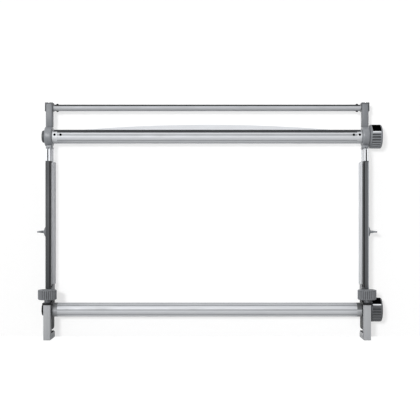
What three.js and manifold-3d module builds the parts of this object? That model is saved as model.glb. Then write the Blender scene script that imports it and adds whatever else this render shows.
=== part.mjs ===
// Table-top rug tufting frame.
// Two cloth rollers lie between a pair of telescoping side posts. A knob at the right end winds each roller.
// Each post stands in a housing with a table-edge clamp, which a knurled ring knob draws shut.
// Axes: X to the right, Y to the rear, Z up. The origin is the middle of the footprint, on the floor.

import * as THREE from "three";
import { mergeVertices } from "three/addons/utils/BufferGeometryUtils.js";
import Module from "manifold-3d";

const wasm = await Module();
wasm.setup();

// Overall layout, in millimetres
const SIDE_OFFSET = 364; // from the middle of the frame to the middle plane of each side
const LOWER_AXIS_DROP = 14; // lower roller axis below the top of the foot bars
const UPPER_AXIS_HEIGHT = 465.5;
const RAIL_RISE = 66.5; // yarn rail axis above the upper roller axis
const CLEARANCE = 0.3; // between seated or turning pieces
const SEAT_GAP = 0.1; // between flat faces that rest on each other
const OVERRUN = 1; // how far a cutter passes through a face

// Foot bracket
const FOOT_WIDTH = 15.5;
const FOOT_BAR_DEPTH = 15.5;
const FOOT_BAR_HEIGHT = 80;
const FOOT_REACH = 24; // rear end of the jaw behind the roller axes
const FOOT_CORNER = 2;
const CLAMP_AXIS_FORWARD = 30; // clamp screw axis in front of the roller axes
const JAW_HEIGHT = 13.2;
const PAD_THICKNESS = 1.8;
const PAD_INSET = 1;
const CLAMP_GAP = 5.5;
const GUIDE_RIB_WIDTH = 4;
const GUIDE_RIB_DEPTH = 0.9;
const GUIDE_RIB_LENGTH = 36;

// Clamp screw and ring knob
const SCREW_RADIUS = 5;
const SCREW_LENGTH_BELOW_LUG = 55;
const SCREW_BORE_SPARE = 5;
const SCREW_TIP_CHAMFER = 1;
const NECK_RADIUS = 6.9;
const NECK_HEIGHT = 7.2;
const STEM_RADIUS = 4;
const STEM_LENGTH = 15;
const CLIP_RADIUS = 7.2;
const CLIP_THICKNESS = 1.2;
const RING_RADIUS = 21.3;
const RING_HEIGHT = 22.4;
const RING_EDGE = 1.6;
const RING_DISH_RADIUS = 14;
const RING_DISH_DEPTH = 1.8;
const RING_FLUTE_COUNT = 24;
const RING_FLUTE_DEPTH = 0.9;
const RING_FLUTE_RIM = 1.9;

// Lower housing
const HOUSING_HALF_WIDTH = 6.6;
const HOUSING_CORNER = 2;
const BEARING_BOSS_RADIUS = 13;
const BEARING_HALF_WIDTH = 8; // both housings carry the same bush
const LUG_HALF_WIDTH = 10;
const LUG_THICKNESS = 4.2;
const LUG_NOSE = 10; // front of the lug ahead of the clamp screw axis
const LUG_WAIST_FRONT = 22; // the lug narrows behind this, beside the winding knob
const SOCKET_WALL = 1.6;
const SOCKET_FRONT = 8.2; // front face of the post socket ahead of the roller axes
const SOCKET_RISE = 39.5; // from the lug to the top of the socket
const SOCKET_FLOOR_RISE = 11.5; // from the lug to the foot of the post

// Outer post
const POST_HALF_WIDTH = 5.6;
const POST_HALF_DEPTH = 24;
const POST_WALL = 0.6;
const POST_CORNER = 0.8;
const POST_NOTCH_ABOVE_RING = 1.6;
const POST_LINE_WIDTH = 0.8; // fine line down the front face
const POST_LINE_DEPTH = 0.4;
const POST_LINE_OFFSET = 1.9;

// Side rail on the inboard face of each post
const RAIL_PLATE_THICKNESS = 4;
const RAIL_PLATE_FRONT = 3; // ahead of the roller axes
const RAIL_PLATE_REAR = 27;
const RAIL_PLATE_CORNER = 0.8;
const RAIL_SLOT_WIDTH = 3;
const RAIL_SLOT_DEPTH = 2;

// Inner slide
const SLIDE_GAP = 0.1; // running gap inside the post
const SLIDE_WALL = 1.2;
const SLIDE_SLOT = 2.8;
const SLIDE_CORNER = 0.8;
const SLIDE_BELOW_LOCK = 103.8; // reach of the slide below the lock
const SLIDE_SHOWN = 29.2; // length of the slide seen above the post

// Height lock
const LOCK_HEIGHT = 246;
const LOCK_FORWARD = 12.8; // lock axis in front of the roller axes
const BOSS_BASE_RADIUS = 10.8;
const BOSS_TOP_RADIUS = 5.2;
const BOSS_THICKNESS = 4.8;
const BOSS_RIM = 1.6;
const BOSS_NOSE_RADIUS = 5.6;
const LOCK_PAD_RADIUS = 4;
const LOCK_PAD_THICKNESS = 2;
const LOCK_TRAVEL = 2;
const WING_THREAD_RADIUS = 2.5;
const WING_HUB_RADIUS = 3.2;
const WING_HUB_TIP_RADIUS = 2.2;
const WING_HUB_LENGTH = 9;
const WING_REACH = 25.9; // wing tips outboard of the side plane
const WING_LOBE_RADIUS = 4.6;
const WING_LOBE_SPREAD = 8.4;
const WING_ROOT_SPREAD = 2.4;
const WING_THICKNESS = 3.8;

// Upper housing
const DRUM_RADIUS = 24;
const DRUM_EDGE = 3.4;
const COLLAR_HALF_WIDTH = 7.2;
const COLLAR_HALF_DEPTH = 13;
const COLLAR_THICKNESS = 4;
const COLLAR_CORNER = 2;
const COLLAR_BELOW_DRUM = 1;
const DRUM_NECK_HALF_WIDTH = 6;
const DRUM_NECK_HALF_DEPTH = 11;
const DRUM_NECK_HEIGHT = 16;
const SPIGOT_LENGTH = 22;
const SPIGOT_SUNK = 1; // the plug ends this far below the top of the slide

// Bushes and roller shafts
const SHAFT_RADIUS = 6;
const BUSH_WALL = 1.7;
const SHAFT_PAST_HOUSING_LEFT = 7.1;
const SHAFT_PAST_HOUSING_RIGHT = 21.7;
const SHAFT_CHAMFER = 0.8;
const SHAFT_THREAD_RADIUS = 2.8;
const SHAFT_THREAD_DEPTH = 10;

// Rollers
const ROLLER_RADIUS = 16;
const ROLLER_WALL = 3;
const PLUG_LENGTH = 36;
const INLAY_DEPTH = 1.7;
const INLAY_FROM_ANGLE = 34; // angles run from the front, upwards
const INLAY_TO_ANGLE = 93;
const INLAY_END_INSET = 2;
const LEADER_SLOT_ANGLE = 98;
const LEADER_SLOT_DEPTH = 2;
const LINE_GROOVE_WIDTH = 1;
const LINE_GROOVE_DEPTH = 0.7;
const LINE_GROOVE_ANGLES = [19.5, -28, -49, -133];
const LOWER_ROLLER_TURN_ANGLE = 130;
const ROLLER_SCREW_ANGLE = 11.7;
const ROLLER_SCREW_RADIUS = 2.4;
const ROLLER_SCREW_LENGTH = 6;
const ROLLER_SCREW_SOCKET_RADIUS = 1.4;
const ROLLER_SCREW_SOCKET_DEPTH = 2;
const OUTER_SCREW_INSET = 14; // inboard of the side plane
const INNER_SCREW_INSET = 27.6;

// Cloth leader along the upper roller
const LEADER_CHORD = 582;
const LEADER_RISE = 12.3;
const LEADER_THICKNESS = 1.2;

// End discs and winding knobs
const DISC_RADIUS = 14.2;
const DISC_LENGTH = 8.6;
const DISC_EDGE = 3;
const DISC_FACE_WALL = 1.4;
const KNOB_RADIUS = 27.5;
const KNOB_LENGTH = 29.2;
const KNOB_SKIRT_RADIUS = 22;
const KNOB_SKIRT_LENGTH = 3.4;
const KNOB_EDGE = 2.6;
const KNOB_FLUTE_COUNT = 25;
const KNOB_FLUTE_DEPTH = 1.3;
const KNOB_FLUTE_INSET = 4.6; // flutes stop this far from each end of the knob
const KNOB_FACE_RECESS_RADIUS = 9;
const KNOB_FACE_RECESS_DEPTH = 3;
const KNOB_WEB = 4.2;
const WINDOW_FROM_ANGLE = 12;
const WINDOW_TO_ANGLE = 117;
const WINDOW_FRAME_ANGLE = 3; // plain knob left beside the window
const WINDOW_DEPTH = 2.2;
const WINDOW_INNER_INSET = 5.6; // from the knob's skirt end
const WINDOW_OUTER_INSET = 3;
const KNOB_SCREW_RADIUS = 2.5;
const KNOB_SCREW_LENGTH = 12;
const KNOB_SCREW_HEAD_RADIUS = 5.4;
const KNOB_SCREW_HEAD_HEIGHT = 2.4;

// Arms, caps and yarn rail
const ARM_WIDTH = 15.4;
const ARM_DEPTH = 18;
const ARM_CORNER = 2.6;
const ARM_SADDLE_DEPTH = 3; // how far the arm's foot reaches down round the drum
const TENON_HALF_WIDTH = 4.5;
const TENON_HALF_DEPTH = 6;
const TENON_DEPTH = 8;
const CAP_RISE = 11.5; // top of the cap above the rail axis
const CAP_HEIGHT = 20;
const CAP_CHEEK = 1.1;
const CAP_TOP_WALL = 2.3;
const CAP_HALF_DEPTH = 10.2;
const CAP_NOTCH_HALF_WIDTH = 1.7;
const CAP_NOTCH_DEPTH = 1.7;
const YARN_RAIL_RADIUS = 7.5;
const YARN_RAIL_WALL = 1.5;
const YARN_RAIL_LINE_ANGLE = 68;
const YARN_RAIL_LINE_WIDTH = 3.2;
const YARN_RAIL_LINE_DEPTH = 0.5;
const RAIL_SPIGOT_LENGTH = 22; // inside the yarn rail
const RIVET_INSET = 18.2; // inboard of the side plane
const RIVET_RADIUS = 1.8;
const RIVET_HEAD_RADIUS = 3.2;
const RIVET_HEAD_HEIGHT = 1.8;

// Facets of round shapes
const COARSE_FACETS = 24;
const FACETS = 32;
const FINE_FACETS = 48;
const CORNER_FACETS = 3;
const ARC_STEP_ANGLE = 7.5;
const LEADER_STEPS = 24;
const FLUTE_MOUTH_SHARE = 0.72; // of the pitch between flutes
const FLUTE_FLOOR_SHARE = 0.42;
const SMALLEST_EDGE = 0.001; // vertices closer than this are one

// Heights that follow from the sizes above
const lowerAxisHeight = FOOT_BAR_HEIGHT - LOWER_AXIS_DROP;
const lugBottom = FOOT_BAR_HEIGHT + CLEARANCE;
const lugTop = lugBottom + LUG_THICKNESS;
const socketTop = lugTop + SOCKET_RISE;
const socketFloor = lugTop + SOCKET_FLOOR_RISE;
const ringBottom = lugTop + CLEARANCE + NECK_HEIGHT;
const ringTop = ringBottom + RING_HEIGHT;
const housingBottom = JAW_HEIGHT + PAD_THICKNESS + CLAMP_GAP + PAD_THICKNESS;
const drumBottom = UPPER_AXIS_HEIGHT - DRUM_RADIUS;
const collarTop = drumBottom - COLLAR_BELOW_DRUM;
const collarBottom = collarTop - COLLAR_THICKNESS;
const slideTop = collarBottom - CLEARANCE;
const slideBottom = LOCK_HEIGHT - SLIDE_BELOW_LOCK;
const postTop = slideTop - SLIDE_SHOWN;
const railHeight = UPPER_AXIS_HEIGHT + RAIL_RISE;
const capTop = railHeight + CAP_RISE;
const slideHalfWidth = POST_HALF_WIDTH - POST_WALL - SLIDE_GAP;
const slideHalfDepth = POST_HALF_DEPTH - POST_WALL - SLIDE_GAP;
const bushRadius = SHAFT_RADIUS + CLEARANCE + BUSH_WALL;
const shaftBoreRadius = SHAFT_RADIUS + CLEARANCE;
const endPieceStart = BEARING_HALF_WIDTH + CLEARANCE;
const rollerHalfLength = SIDE_OFFSET - endPieceStart;
const footBack = -CLAMP_AXIS_FORWARD + FOOT_BAR_DEPTH / 2;
const capHalfWidth = ARM_WIDTH / 2 + CLEARANCE + CAP_CHEEK;
const knobReach = endPieceStart + KNOB_LENGTH;
const housingFront = footBack + CLEARANCE;
const postNotchHeight = ringTop + POST_NOTCH_ABOVE_RING;
const padFace = slideHalfWidth + 2 * SEAT_GAP;
const padPocketEnd = padFace + LOCK_PAD_THICKNESS + LOCK_TRAVEL + CLEARANCE;
const bossFace = POST_HALF_WIDTH + SEAT_GAP + BOSS_THICKNESS;
const drumTop = UPPER_AXIS_HEIGHT + DRUM_RADIUS;
const railSpigotRadius = YARN_RAIL_RADIUS - YARN_RAIL_WALL - CLEARANCE;

// Finishes
const finish = (color, roughness, metalness) =>
  new THREE.MeshStandardMaterial({ color, roughness, metalness });
const SATIN_ALUMINIUM = finish(0xb4b5b9, 0.38, 0.9);
const BRIGHT_ALUMINIUM = finish(0xc9cbce, 0.3, 0.95);
const DARK_ANODISED = finish(0x55575b, 0.45, 0.7);
const GREY_PLASTIC = finish(0x84878a, 0.55, 0);
const DARK_PLASTIC = finish(0x5d6066, 0.5, 0);
const BLACK_PLASTIC = finish(0x2b2c2f, 0.55, 0);
const GLOSS_BLACK = finish(0x08090a, 0.15, 0);
const RUBBER = finish(0x1d1e20, 0.85, 0);
const STEEL = finish(0x9da0a4, 0.35, 1);
const BLACK_STEEL = finish(0x111214, 0.4, 0.8);
const BRASS = finish(0xb79a55, 0.35, 1);
const BUSH_PLASTIC = finish(0xd8d6cc, 0.6, 0);
const WHITE_CLOTH = finish(0xe6e9ea, 0.9, 0);

const radians = THREE.MathUtils.degToRad;
const FULL_TURN = 360;

// Joining and cutting
function solidOf(geometry) {
  const bare = geometry.clone();
  bare.deleteAttribute("normal");
  bare.deleteAttribute("uv");
  const merged = mergeVertices(bare, SMALLEST_EDGE);
  return new wasm.Manifold(
    new wasm.Mesh({
      numProp: 3,
      vertProperties: merged.attributes.position.array,
      triVerts: new Uint32Array(merged.index.array),
    }),
  );
}

function geometryOf(solid) {
  const made = solid.getMesh();
  const indexed = new THREE.BufferGeometry();
  indexed.setAttribute("position", new THREE.BufferAttribute(made.vertProperties, made.numProp));
  indexed.setIndex(new THREE.BufferAttribute(made.triVerts, 1));
  const faceted = indexed.toNonIndexed();
  faceted.computeVertexNormals();
  return faceted;
}

const joined = (...geometries) => geometryOf(geometries.map(solidOf).reduce((a, b) => a.add(b)));
const cut = (geometry, ...cutters) =>
  geometryOf(cutters.reduce((a, b) => a.subtract(solidOf(b)), solidOf(geometry)));

// Blocks, extrusions and turned shapes
const AXIS_X = new THREE.Vector3(1, 0, 0);
const AXIS_Y = new THREE.Vector3(0, 1, 0);
const AXIS_Z = new THREE.Vector3(0, 0, 1);

function block(x0, x1, y0, y1, z0, z1) {
  const geometry = new THREE.BoxGeometry(x1 - x0, y1 - y0, z1 - z0);
  return geometry.translate((x0 + x1) / 2, (y0 + y1) / 2, (z0 + z1) / 2);
}

function extruded(shape, depth) {
  return new THREE.ExtrudeGeometry(shape, { depth, bevelEnabled: false, curveSegments: CORNER_FACETS });
}

// A shape drawn in X and Y, raised from z0 to z1
const alongZ = (shape, z0, z1) => extruded(shape, z1 - z0).translate(0, 0, z0);

// A shape drawn in Y and Z, run from x0 to x1
function alongX(shape, x0, x1) {
  const turn = new THREE.Matrix4().makeBasis(AXIS_Y, AXIS_Z, AXIS_X);
  return extruded(shape, x1 - x0).applyMatrix4(turn).translate(x0, 0, 0);
}

// A shape drawn in X and Z, run from y0 to y1
function alongY(shape, y0, y1) {
  const turn = new THREE.Matrix4().makeBasis(AXIS_X, AXIS_Z, AXIS_Y.clone().negate());
  return extruded(shape, y1 - y0).applyMatrix4(turn).translate(0, y1, 0);
}

// Profiles are [radius, distance along the axis], from the low end to the high end
function turnedAboutX(profile, facets = FACETS) {
  const points = profile.map(([radius, along]) => new THREE.Vector2(radius, along));
  return new THREE.LatheGeometry(points, facets).rotateZ(-Math.PI / 2);
}

function turnedAboutZ(profile, facets = FACETS) {
  const points = profile.map(([radius, along]) => new THREE.Vector2(radius, along));
  return new THREE.LatheGeometry(points, facets).rotateX(Math.PI / 2);
}

const rodAboutX = (radius, x0, x1, facets) =>
  turnedAboutX([[0, x0], [radius, x0], [radius, x1], [0, x1]], facets);

const rodAboutZ = (radius, z0, z1, facets) =>
  turnedAboutZ([[0, z0], [radius, z0], [radius, z1], [0, z1]], facets);

const sleeveAboutX = (inner, outer, x0, x1) =>
  turnedAboutX([[inner, x0], [outer, x0], [outer, x1], [inner, x1], [inner, x0]]);

// Outline from corners [x, y, radius], each corner rounded by its radius
function roundedOutline(corners) {
  const shape = new THREE.Shape();
  corners.forEach(([x, y, radius], i) => {
    const corner = new THREE.Vector2(x, y);
    const before = corners.at(i - 1);
    const after = corners[(i + 1) % corners.length];
    const towards = ([otherX, otherY]) =>
      new THREE.Vector2(otherX, otherY).sub(corner).setLength(radius).add(corner);
    const start = radius ? towards(before) : corner;
    if (i === 0) shape.moveTo(start.x, start.y);
    else shape.lineTo(start.x, start.y);
    if (radius) {
      const end = towards(after);
      shape.quadraticCurveTo(x, y, end.x, end.y);
    }
  });
  shape.closePath();
  return shape;
}

function rectangle(x0, x1, y0, y1, radius = 0) {
  return roundedOutline([[x0, y0, radius], [x1, y0, radius], [x1, y1, radius], [x0, y1, radius]]);
}

// Points on an arc about the X axis, drawn in Y and Z, with the angle measured from the front upwards
function arcPoints(radius, fromAngle, toAngle) {
  const steps = Math.max(1, Math.ceil(Math.abs(toAngle - fromAngle) / ARC_STEP_ANGLE));
  return Array.from({ length: steps + 1 }, (_, i) => {
    const angle = radians(fromAngle + ((toAngle - fromAngle) * i) / steps);
    return new THREE.Vector2(-radius * Math.cos(angle), radius * Math.sin(angle));
  });
}

// Part of a ring between two radii and two angles
function arcBand(inner, outer, fromAngle, toAngle) {
  return new THREE.Shape([...arcPoints(inner, fromAngle, toAngle), ...arcPoints(outer, toAngle, fromAngle)]);
}

const spanAngle = (width, radius) => THREE.MathUtils.radToDeg(width / radius);

// Tube along X whose outside has recesses, each { from, to, depth }, listed by rising angle
function recessedTube(radius, wall, recesses, x0, x1) {
  const outline = recesses.flatMap(({ from, to, depth }, i) => {
    const next = i + 1 < recesses.length ? recesses[i + 1].from : recesses[0].from + FULL_TURN;
    return [...arcPoints(radius - depth, from, to), ...arcPoints(radius, to, next)];
  });
  const bore = rodAboutX(radius - wall, x0 - OVERRUN, x1 + OVERRUN, FINE_FACETS);
  return cut(alongX(new THREE.Shape(outline), x0, x1), bore);
}

function recess(angle, width, depth, radius) {
  const half = spanAngle(width, radius) / 2;
  return { from: angle - half, to: angle + half, depth };
}

// Outline of a fluted round: full width between the flutes, and clear of the radius at bare angles
function flutedOutline(radius, depth, count, isBare = () => false) {
  const pitch = FULL_TURN / count;
  const clear = radius + OVERRUN / 2;
  const at = (distance, angle) => arcPoints(distance, angle, angle)[0];
  const outline = Array.from({ length: count }, (_, i) => {
    const middle = (i + 0.5) * pitch;
    const mouth = (FLUTE_MOUTH_SHARE * pitch) / 2;
    const floor = (FLUTE_FLOOR_SHARE * pitch) / 2;
    const edge = at(clear, i * pitch);
    if (isBare(middle)) return [edge, at(clear, middle)];
    return [
      edge,
      at(clear, middle - mouth),
      at(radius - depth, middle - floor),
      at(radius - depth, middle + floor),
      at(clear, middle + mouth),
    ];
  }).flat();
  return new THREE.Shape(outline);
}

// A rod that runs outwards from the X axis at an angle from the front, between two radii
function radialRod(radius, inner, outer, angle, x) {
  return rodAboutZ(radius, inner, outer, COARSE_FACETS).rotateX(radians(90 - angle)).translate(x, 0, 0);
}

// Foot bracket: upright bar and bottom jaw in one piece, with the screw's bore and a guide groove
function footBracket() {
  const front = footBack - FOOT_BAR_DEPTH;
  const outline = roundedOutline([
    [front, 0, FOOT_CORNER],
    [FOOT_REACH, 0, FOOT_CORNER],
    [FOOT_REACH, JAW_HEIGHT, FOOT_CORNER],
    [footBack, JAW_HEIGHT, 0],
    [footBack, FOOT_BAR_HEIGHT, 0],
    [front, FOOT_BAR_HEIGHT, 0],
  ]);
  const boreFloor = lugBottom - SCREW_LENGTH_BELOW_LUG - SCREW_BORE_SPARE;
  const bore = rodAboutZ(SCREW_RADIUS + CLEARANCE, boreFloor, FOOT_BAR_HEIGHT + OVERRUN, COARSE_FACETS);
  const grooveHalf = GUIDE_RIB_WIDTH / 2 + CLEARANCE;
  const grooveFront = footBack - GUIDE_RIB_DEPTH - CLEARANCE;
  return cut(
    alongX(outline, -FOOT_WIDTH / 2, FOOT_WIDTH / 2),
    bore.translate(0, -CLAMP_AXIS_FORWARD, 0),
    block(-grooveHalf, grooveHalf, grooveFront, footBack + OVERRUN, JAW_HEIGHT, FOOT_BAR_HEIGHT + OVERRUN),
  );
}

function jawPad() {
  const half = FOOT_WIDTH / 2 - PAD_INSET;
  const outline = rectangle(-half, half, footBack + PAD_INSET, FOOT_REACH - PAD_INSET, PAD_INSET);
  return alongZ(outline, JAW_HEIGHT + SEAT_GAP, JAW_HEIGHT + PAD_THICKNESS);
}

function upperJawPad() {
  const half = HOUSING_HALF_WIDTH - PAD_INSET / 2;
  const front = housingFront + HOUSING_CORNER;
  const outline = rectangle(-half, half, front, FOOT_REACH - HOUSING_CORNER, PAD_INSET);
  return alongZ(outline, housingBottom - PAD_THICKNESS, housingBottom - SEAT_GAP);
}

// Clamp screw: threaded length in the bracket, neck on the lug, stem in the ring knob
function clampScrew() {
  const tip = lugBottom - SCREW_LENGTH_BELOW_LUG;
  const neckBottom = lugTop + CLEARANCE;
  const neckTop = ringBottom - SEAT_GAP;
  const screw = turnedAboutZ([
    [0, tip],
    [SCREW_RADIUS - SCREW_TIP_CHAMFER, tip],
    [SCREW_RADIUS, tip + SCREW_TIP_CHAMFER],
    [SCREW_RADIUS, neckBottom],
    [NECK_RADIUS, neckBottom],
    [NECK_RADIUS, neckTop],
    [STEM_RADIUS, neckTop],
    [STEM_RADIUS, ringBottom + STEM_LENGTH],
    [0, ringBottom + STEM_LENGTH],
  ], COARSE_FACETS);
  return screw.translate(0, -CLAMP_AXIS_FORWARD, 0);
}

// Retaining clip under the lug, round the clamp screw
function clampClip() {
  const inner = SCREW_RADIUS + CLEARANCE;
  const bottom = lugBottom + CLEARANCE;
  const top = bottom + CLIP_THICKNESS;
  const ring = turnedAboutZ([
    [inner, bottom],
    [CLIP_RADIUS, bottom],
    [CLIP_RADIUS, top],
    [inner, top],
    [inner, bottom],
  ]);
  return ring.translate(0, -CLAMP_AXIS_FORWARD, 0);
}

// Fluted ring knob with a dished top and a blind bore for the screw's stem
function clampKnob() {
  const boreTop = ringBottom + STEM_LENGTH + CLEARANCE;
  const boreRadius = STEM_RADIUS + CLEARANCE;
  const body = turnedAboutZ([
    [0, boreTop],
    [boreRadius, boreTop],
    [boreRadius, ringBottom],
    [RING_RADIUS - RING_EDGE, ringBottom],
    [RING_RADIUS, ringBottom + RING_EDGE],
    [RING_RADIUS, ringTop - RING_EDGE],
    [RING_RADIUS - RING_EDGE, ringTop],
    [RING_DISH_RADIUS, ringTop],
    [RING_DISH_RADIUS - RING_DISH_DEPTH, ringTop - RING_DISH_DEPTH],
    [0, ringTop - RING_DISH_DEPTH],
  ], FINE_FACETS);
  const from = ringBottom + RING_FLUTE_RIM;
  const to = ringTop - RING_FLUTE_RIM;
  const outline = flutedOutline(RING_RADIUS, RING_FLUTE_DEPTH, RING_FLUTE_COUNT);
  const fluted = alongZ(outline, from - OVERRUN, to + OVERRUN);
  const flutes = cut(rodAboutZ(RING_RADIUS + 2 * OVERRUN, from, to), fluted);
  return cut(body, flutes).translate(0, -CLAMP_AXIS_FORWARD, 0);
}

// Lower housing: upper jaw, roller bearing, lug for the clamp screw and socket for the post
function lowerHousing() {
  const base = alongX(
    roundedOutline([
      [housingFront, housingBottom, HOUSING_CORNER],
      [FOOT_REACH, housingBottom, HOUSING_CORNER],
      [FOOT_REACH, lugTop, 0],
      [housingFront, lugTop, 0],
    ]),
    -HOUSING_HALF_WIDTH,
    HOUSING_HALF_WIDTH,
  );
  const boss = rodAboutX(BEARING_BOSS_RADIUS, -BEARING_HALF_WIDTH, BEARING_HALF_WIDTH);
  const lugFront = -CLAMP_AXIS_FORWARD - LUG_NOSE;
  const socketHalf = POST_HALF_WIDTH + CLEARANCE + SOCKET_WALL;
  const lug = roundedOutline([
    [-LUG_HALF_WIDTH, lugFront, HOUSING_CORNER],
    [LUG_HALF_WIDTH, lugFront, HOUSING_CORNER],
    [LUG_HALF_WIDTH, -LUG_WAIST_FRONT, 0],
    [socketHalf, -LUG_WAIST_FRONT, 0],
    [socketHalf, 0, 0],
    [-socketHalf, 0, 0],
    [-socketHalf, -LUG_WAIST_FRONT, 0],
    [-LUG_HALF_WIDTH, -LUG_WAIST_FRONT, 0],
  ]);
  const socketRear = POST_HALF_DEPTH + CLEARANCE + SOCKET_WALL;
  const socket = rectangle(-socketHalf, socketHalf, -SOCKET_FRONT, socketRear, SOCKET_WALL);
  const ribHalf = GUIDE_RIB_WIDTH / 2;
  const body = joined(
    base,
    boss.translate(0, 0, lowerAxisHeight),
    alongZ(lug, lugBottom, lugTop),
    alongZ(socket, lugBottom, socketTop),
    block(-ribHalf, ribHalf, housingFront - GUIDE_RIB_DEPTH, 0, FOOT_BAR_HEIGHT - GUIDE_RIB_LENGTH, lugTop),
  );
  const throughBearing = BEARING_HALF_WIDTH + OVERRUN;
  const bearing = rodAboutX(bushRadius + CLEARANCE, -throughBearing, throughBearing);
  const screwHole = rodAboutZ(SCREW_RADIUS + CLEARANCE, lugBottom - OVERRUN, lugTop + OVERRUN, COARSE_FACETS);
  const clipTop = lugBottom + CLIP_THICKNESS + 2 * CLEARANCE;
  const clipRecess = rodAboutZ(CLIP_RADIUS + CLEARANCE, lugBottom - OVERRUN, clipTop);
  const seatHalf = POST_HALF_WIDTH + CLEARANCE;
  const seatRear = POST_HALF_DEPTH + CLEARANCE;
  const seatTop = socketTop + OVERRUN;
  return cut(
    body,
    bearing.translate(0, 0, lowerAxisHeight),
    screwHole.translate(0, -CLAMP_AXIS_FORWARD, 0),
    clipRecess.translate(0, -CLAMP_AXIS_FORWARD, 0),
    block(-seatHalf, seatHalf, SOCKET_WALL - SOCKET_FRONT, seatRear, socketFloor, seatTop),
    block(-seatHalf, seatHalf, -SOCKET_FRONT - OVERRUN, 0, postNotchHeight - CLEARANCE, seatTop),
  );
}

// Outer post: rectangular tube, notched at its foot to clear the ring knob
function outerPost() {
  const half = POST_HALF_WIDTH;
  const outline = rectangle(-half, half, -POST_HALF_DEPTH, POST_HALF_DEPTH, POST_CORNER);
  const innerWidth = half - POST_WALL;
  const innerDepth = POST_HALF_DEPTH - POST_WALL;
  outline.holes.push(rectangle(-innerWidth, innerWidth, -innerDepth, innerDepth));
  const outside = half + OVERRUN;
  const ahead = -POST_HALF_DEPTH - OVERRUN;
  const notchRear = SOCKET_WALL - SOCKET_FRONT + CLEARANCE;
  const bossHole = rodAboutX(BOSS_NOSE_RADIUS + CLEARANCE, 0, outside);
  const lineRear = POST_LINE_DEPTH - POST_HALF_DEPTH;
  const lineEnd = POST_LINE_OFFSET + POST_LINE_WIDTH;
  return cut(
    alongZ(outline, socketFloor + SEAT_GAP, postTop),
    block(-outside, outside, ahead, notchRear, socketFloor, postNotchHeight),
    bossHole.translate(0, -LOCK_FORWARD, LOCK_HEIGHT),
    block(POST_LINE_OFFSET, lineEnd, ahead, lineRear, socketFloor, postTop + OVERRUN),
  );
}

// Side rail: flat bar with a gripper slot down its inboard face
function sideRail() {
  const seat = -POST_HALF_WIDTH - SEAT_GAP;
  const face = seat - RAIL_PLATE_THICKNESS;
  const slotMiddle = (RAIL_PLATE_REAR - RAIL_PLATE_FRONT) / 2;
  const slotFront = slotMiddle - RAIL_SLOT_WIDTH / 2;
  const slotRear = slotMiddle + RAIL_SLOT_WIDTH / 2;
  const outline = roundedOutline([
    [face, -RAIL_PLATE_FRONT, RAIL_PLATE_CORNER],
    [seat, -RAIL_PLATE_FRONT, 0],
    [seat, RAIL_PLATE_REAR, 0],
    [face, RAIL_PLATE_REAR, RAIL_PLATE_CORNER],
    [face, slotRear, 0],
    [face + RAIL_SLOT_DEPTH, slotRear, 0],
    [face + RAIL_SLOT_DEPTH, slotFront, 0],
    [face, slotFront, 0],
  ]);
  return alongZ(outline, socketTop + CLEARANCE, postTop);
}

// Inner slide: thin-walled channel, open down the middle of its front
function innerSlide() {
  const w = slideHalfWidth;
  const d = slideHalfDepth;
  const innerW = w - SLIDE_WALL;
  const innerD = d - SLIDE_WALL;
  const slot = SLIDE_SLOT / 2;
  const outline = roundedOutline([
    [slot, -d, 0],
    [w, -d, SLIDE_CORNER],
    [w, d, SLIDE_CORNER],
    [-w, d, SLIDE_CORNER],
    [-w, -d, SLIDE_CORNER],
    [-slot, -d, 0],
    [-slot, -innerD, 0],
    [-innerW, -innerD, 0],
    [-innerW, innerD, 0],
    [innerW, innerD, 0],
    [innerW, -innerD, 0],
    [slot, -innerD, 0],
  ]);
  return alongZ(outline, slideBottom, slideTop);
}

// Threaded boss that the wing screw runs in, with a pocket for the lock pad
function lockBoss() {
  const wallInside = POST_HALF_WIDTH - POST_WALL;
  const flange = POST_HALF_WIDTH + SEAT_GAP;
  const padBore = LOCK_PAD_RADIUS + CLEARANCE;
  const threadBore = WING_THREAD_RADIUS + CLEARANCE;
  const boss = turnedAboutX([
    [padBore, wallInside],
    [BOSS_NOSE_RADIUS, wallInside],
    [BOSS_NOSE_RADIUS, flange],
    [BOSS_BASE_RADIUS, flange],
    [BOSS_BASE_RADIUS, flange + BOSS_RIM],
    [BOSS_TOP_RADIUS, bossFace],
    [threadBore, bossFace],
    [threadBore, padPocketEnd],
    [padBore, padPocketEnd],
    [padBore, wallInside],
  ]);
  return boss.translate(0, -LOCK_FORWARD, LOCK_HEIGHT);
}

function lockPad() {
  const pad = rodAboutX(LOCK_PAD_RADIUS, padFace, padFace + LOCK_PAD_THICKNESS);
  return pad.translate(0, -LOCK_FORWARD, LOCK_HEIGHT);
}

function wingScrew() {
  const hubStart = bossFace + CLEARANCE;
  const hubEnd = hubStart + WING_HUB_LENGTH;
  const shank = turnedAboutX([
    [0, padFace + LOCK_PAD_THICKNESS + SEAT_GAP],
    [WING_THREAD_RADIUS, padFace + LOCK_PAD_THICKNESS + SEAT_GAP],
    [WING_THREAD_RADIUS, hubStart],
    [WING_HUB_RADIUS, hubStart],
    [WING_HUB_TIP_RADIUS, hubEnd],
    [0, hubEnd],
  ], COARSE_FACETS);
  const lobeBack = WING_REACH - 2 * WING_LOBE_RADIUS;
  const lobeOut = WING_LOBE_SPREAD + WING_LOBE_RADIUS;
  const lobeIn = WING_LOBE_SPREAD - WING_LOBE_RADIUS;
  const wing = roundedOutline([
    [hubStart + WING_ROOT_SPREAD, 0, 0],
    [hubEnd, 0, 0],
    [WING_REACH, lobeIn, WING_LOBE_RADIUS],
    [WING_REACH, lobeOut, WING_LOBE_RADIUS],
    [lobeBack, lobeOut, WING_LOBE_RADIUS],
    [hubStart + WING_ROOT_SPREAD, WING_ROOT_SPREAD, 0],
  ]);
  const rearWing = alongZ(wing, -WING_THICKNESS / 2, WING_THICKNESS / 2);
  const frontWing = rearWing.clone().rotateX(Math.PI);
  return joined(shank, rearWing, frontWing).translate(0, -LOCK_FORWARD, LOCK_HEIGHT);
}

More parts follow.
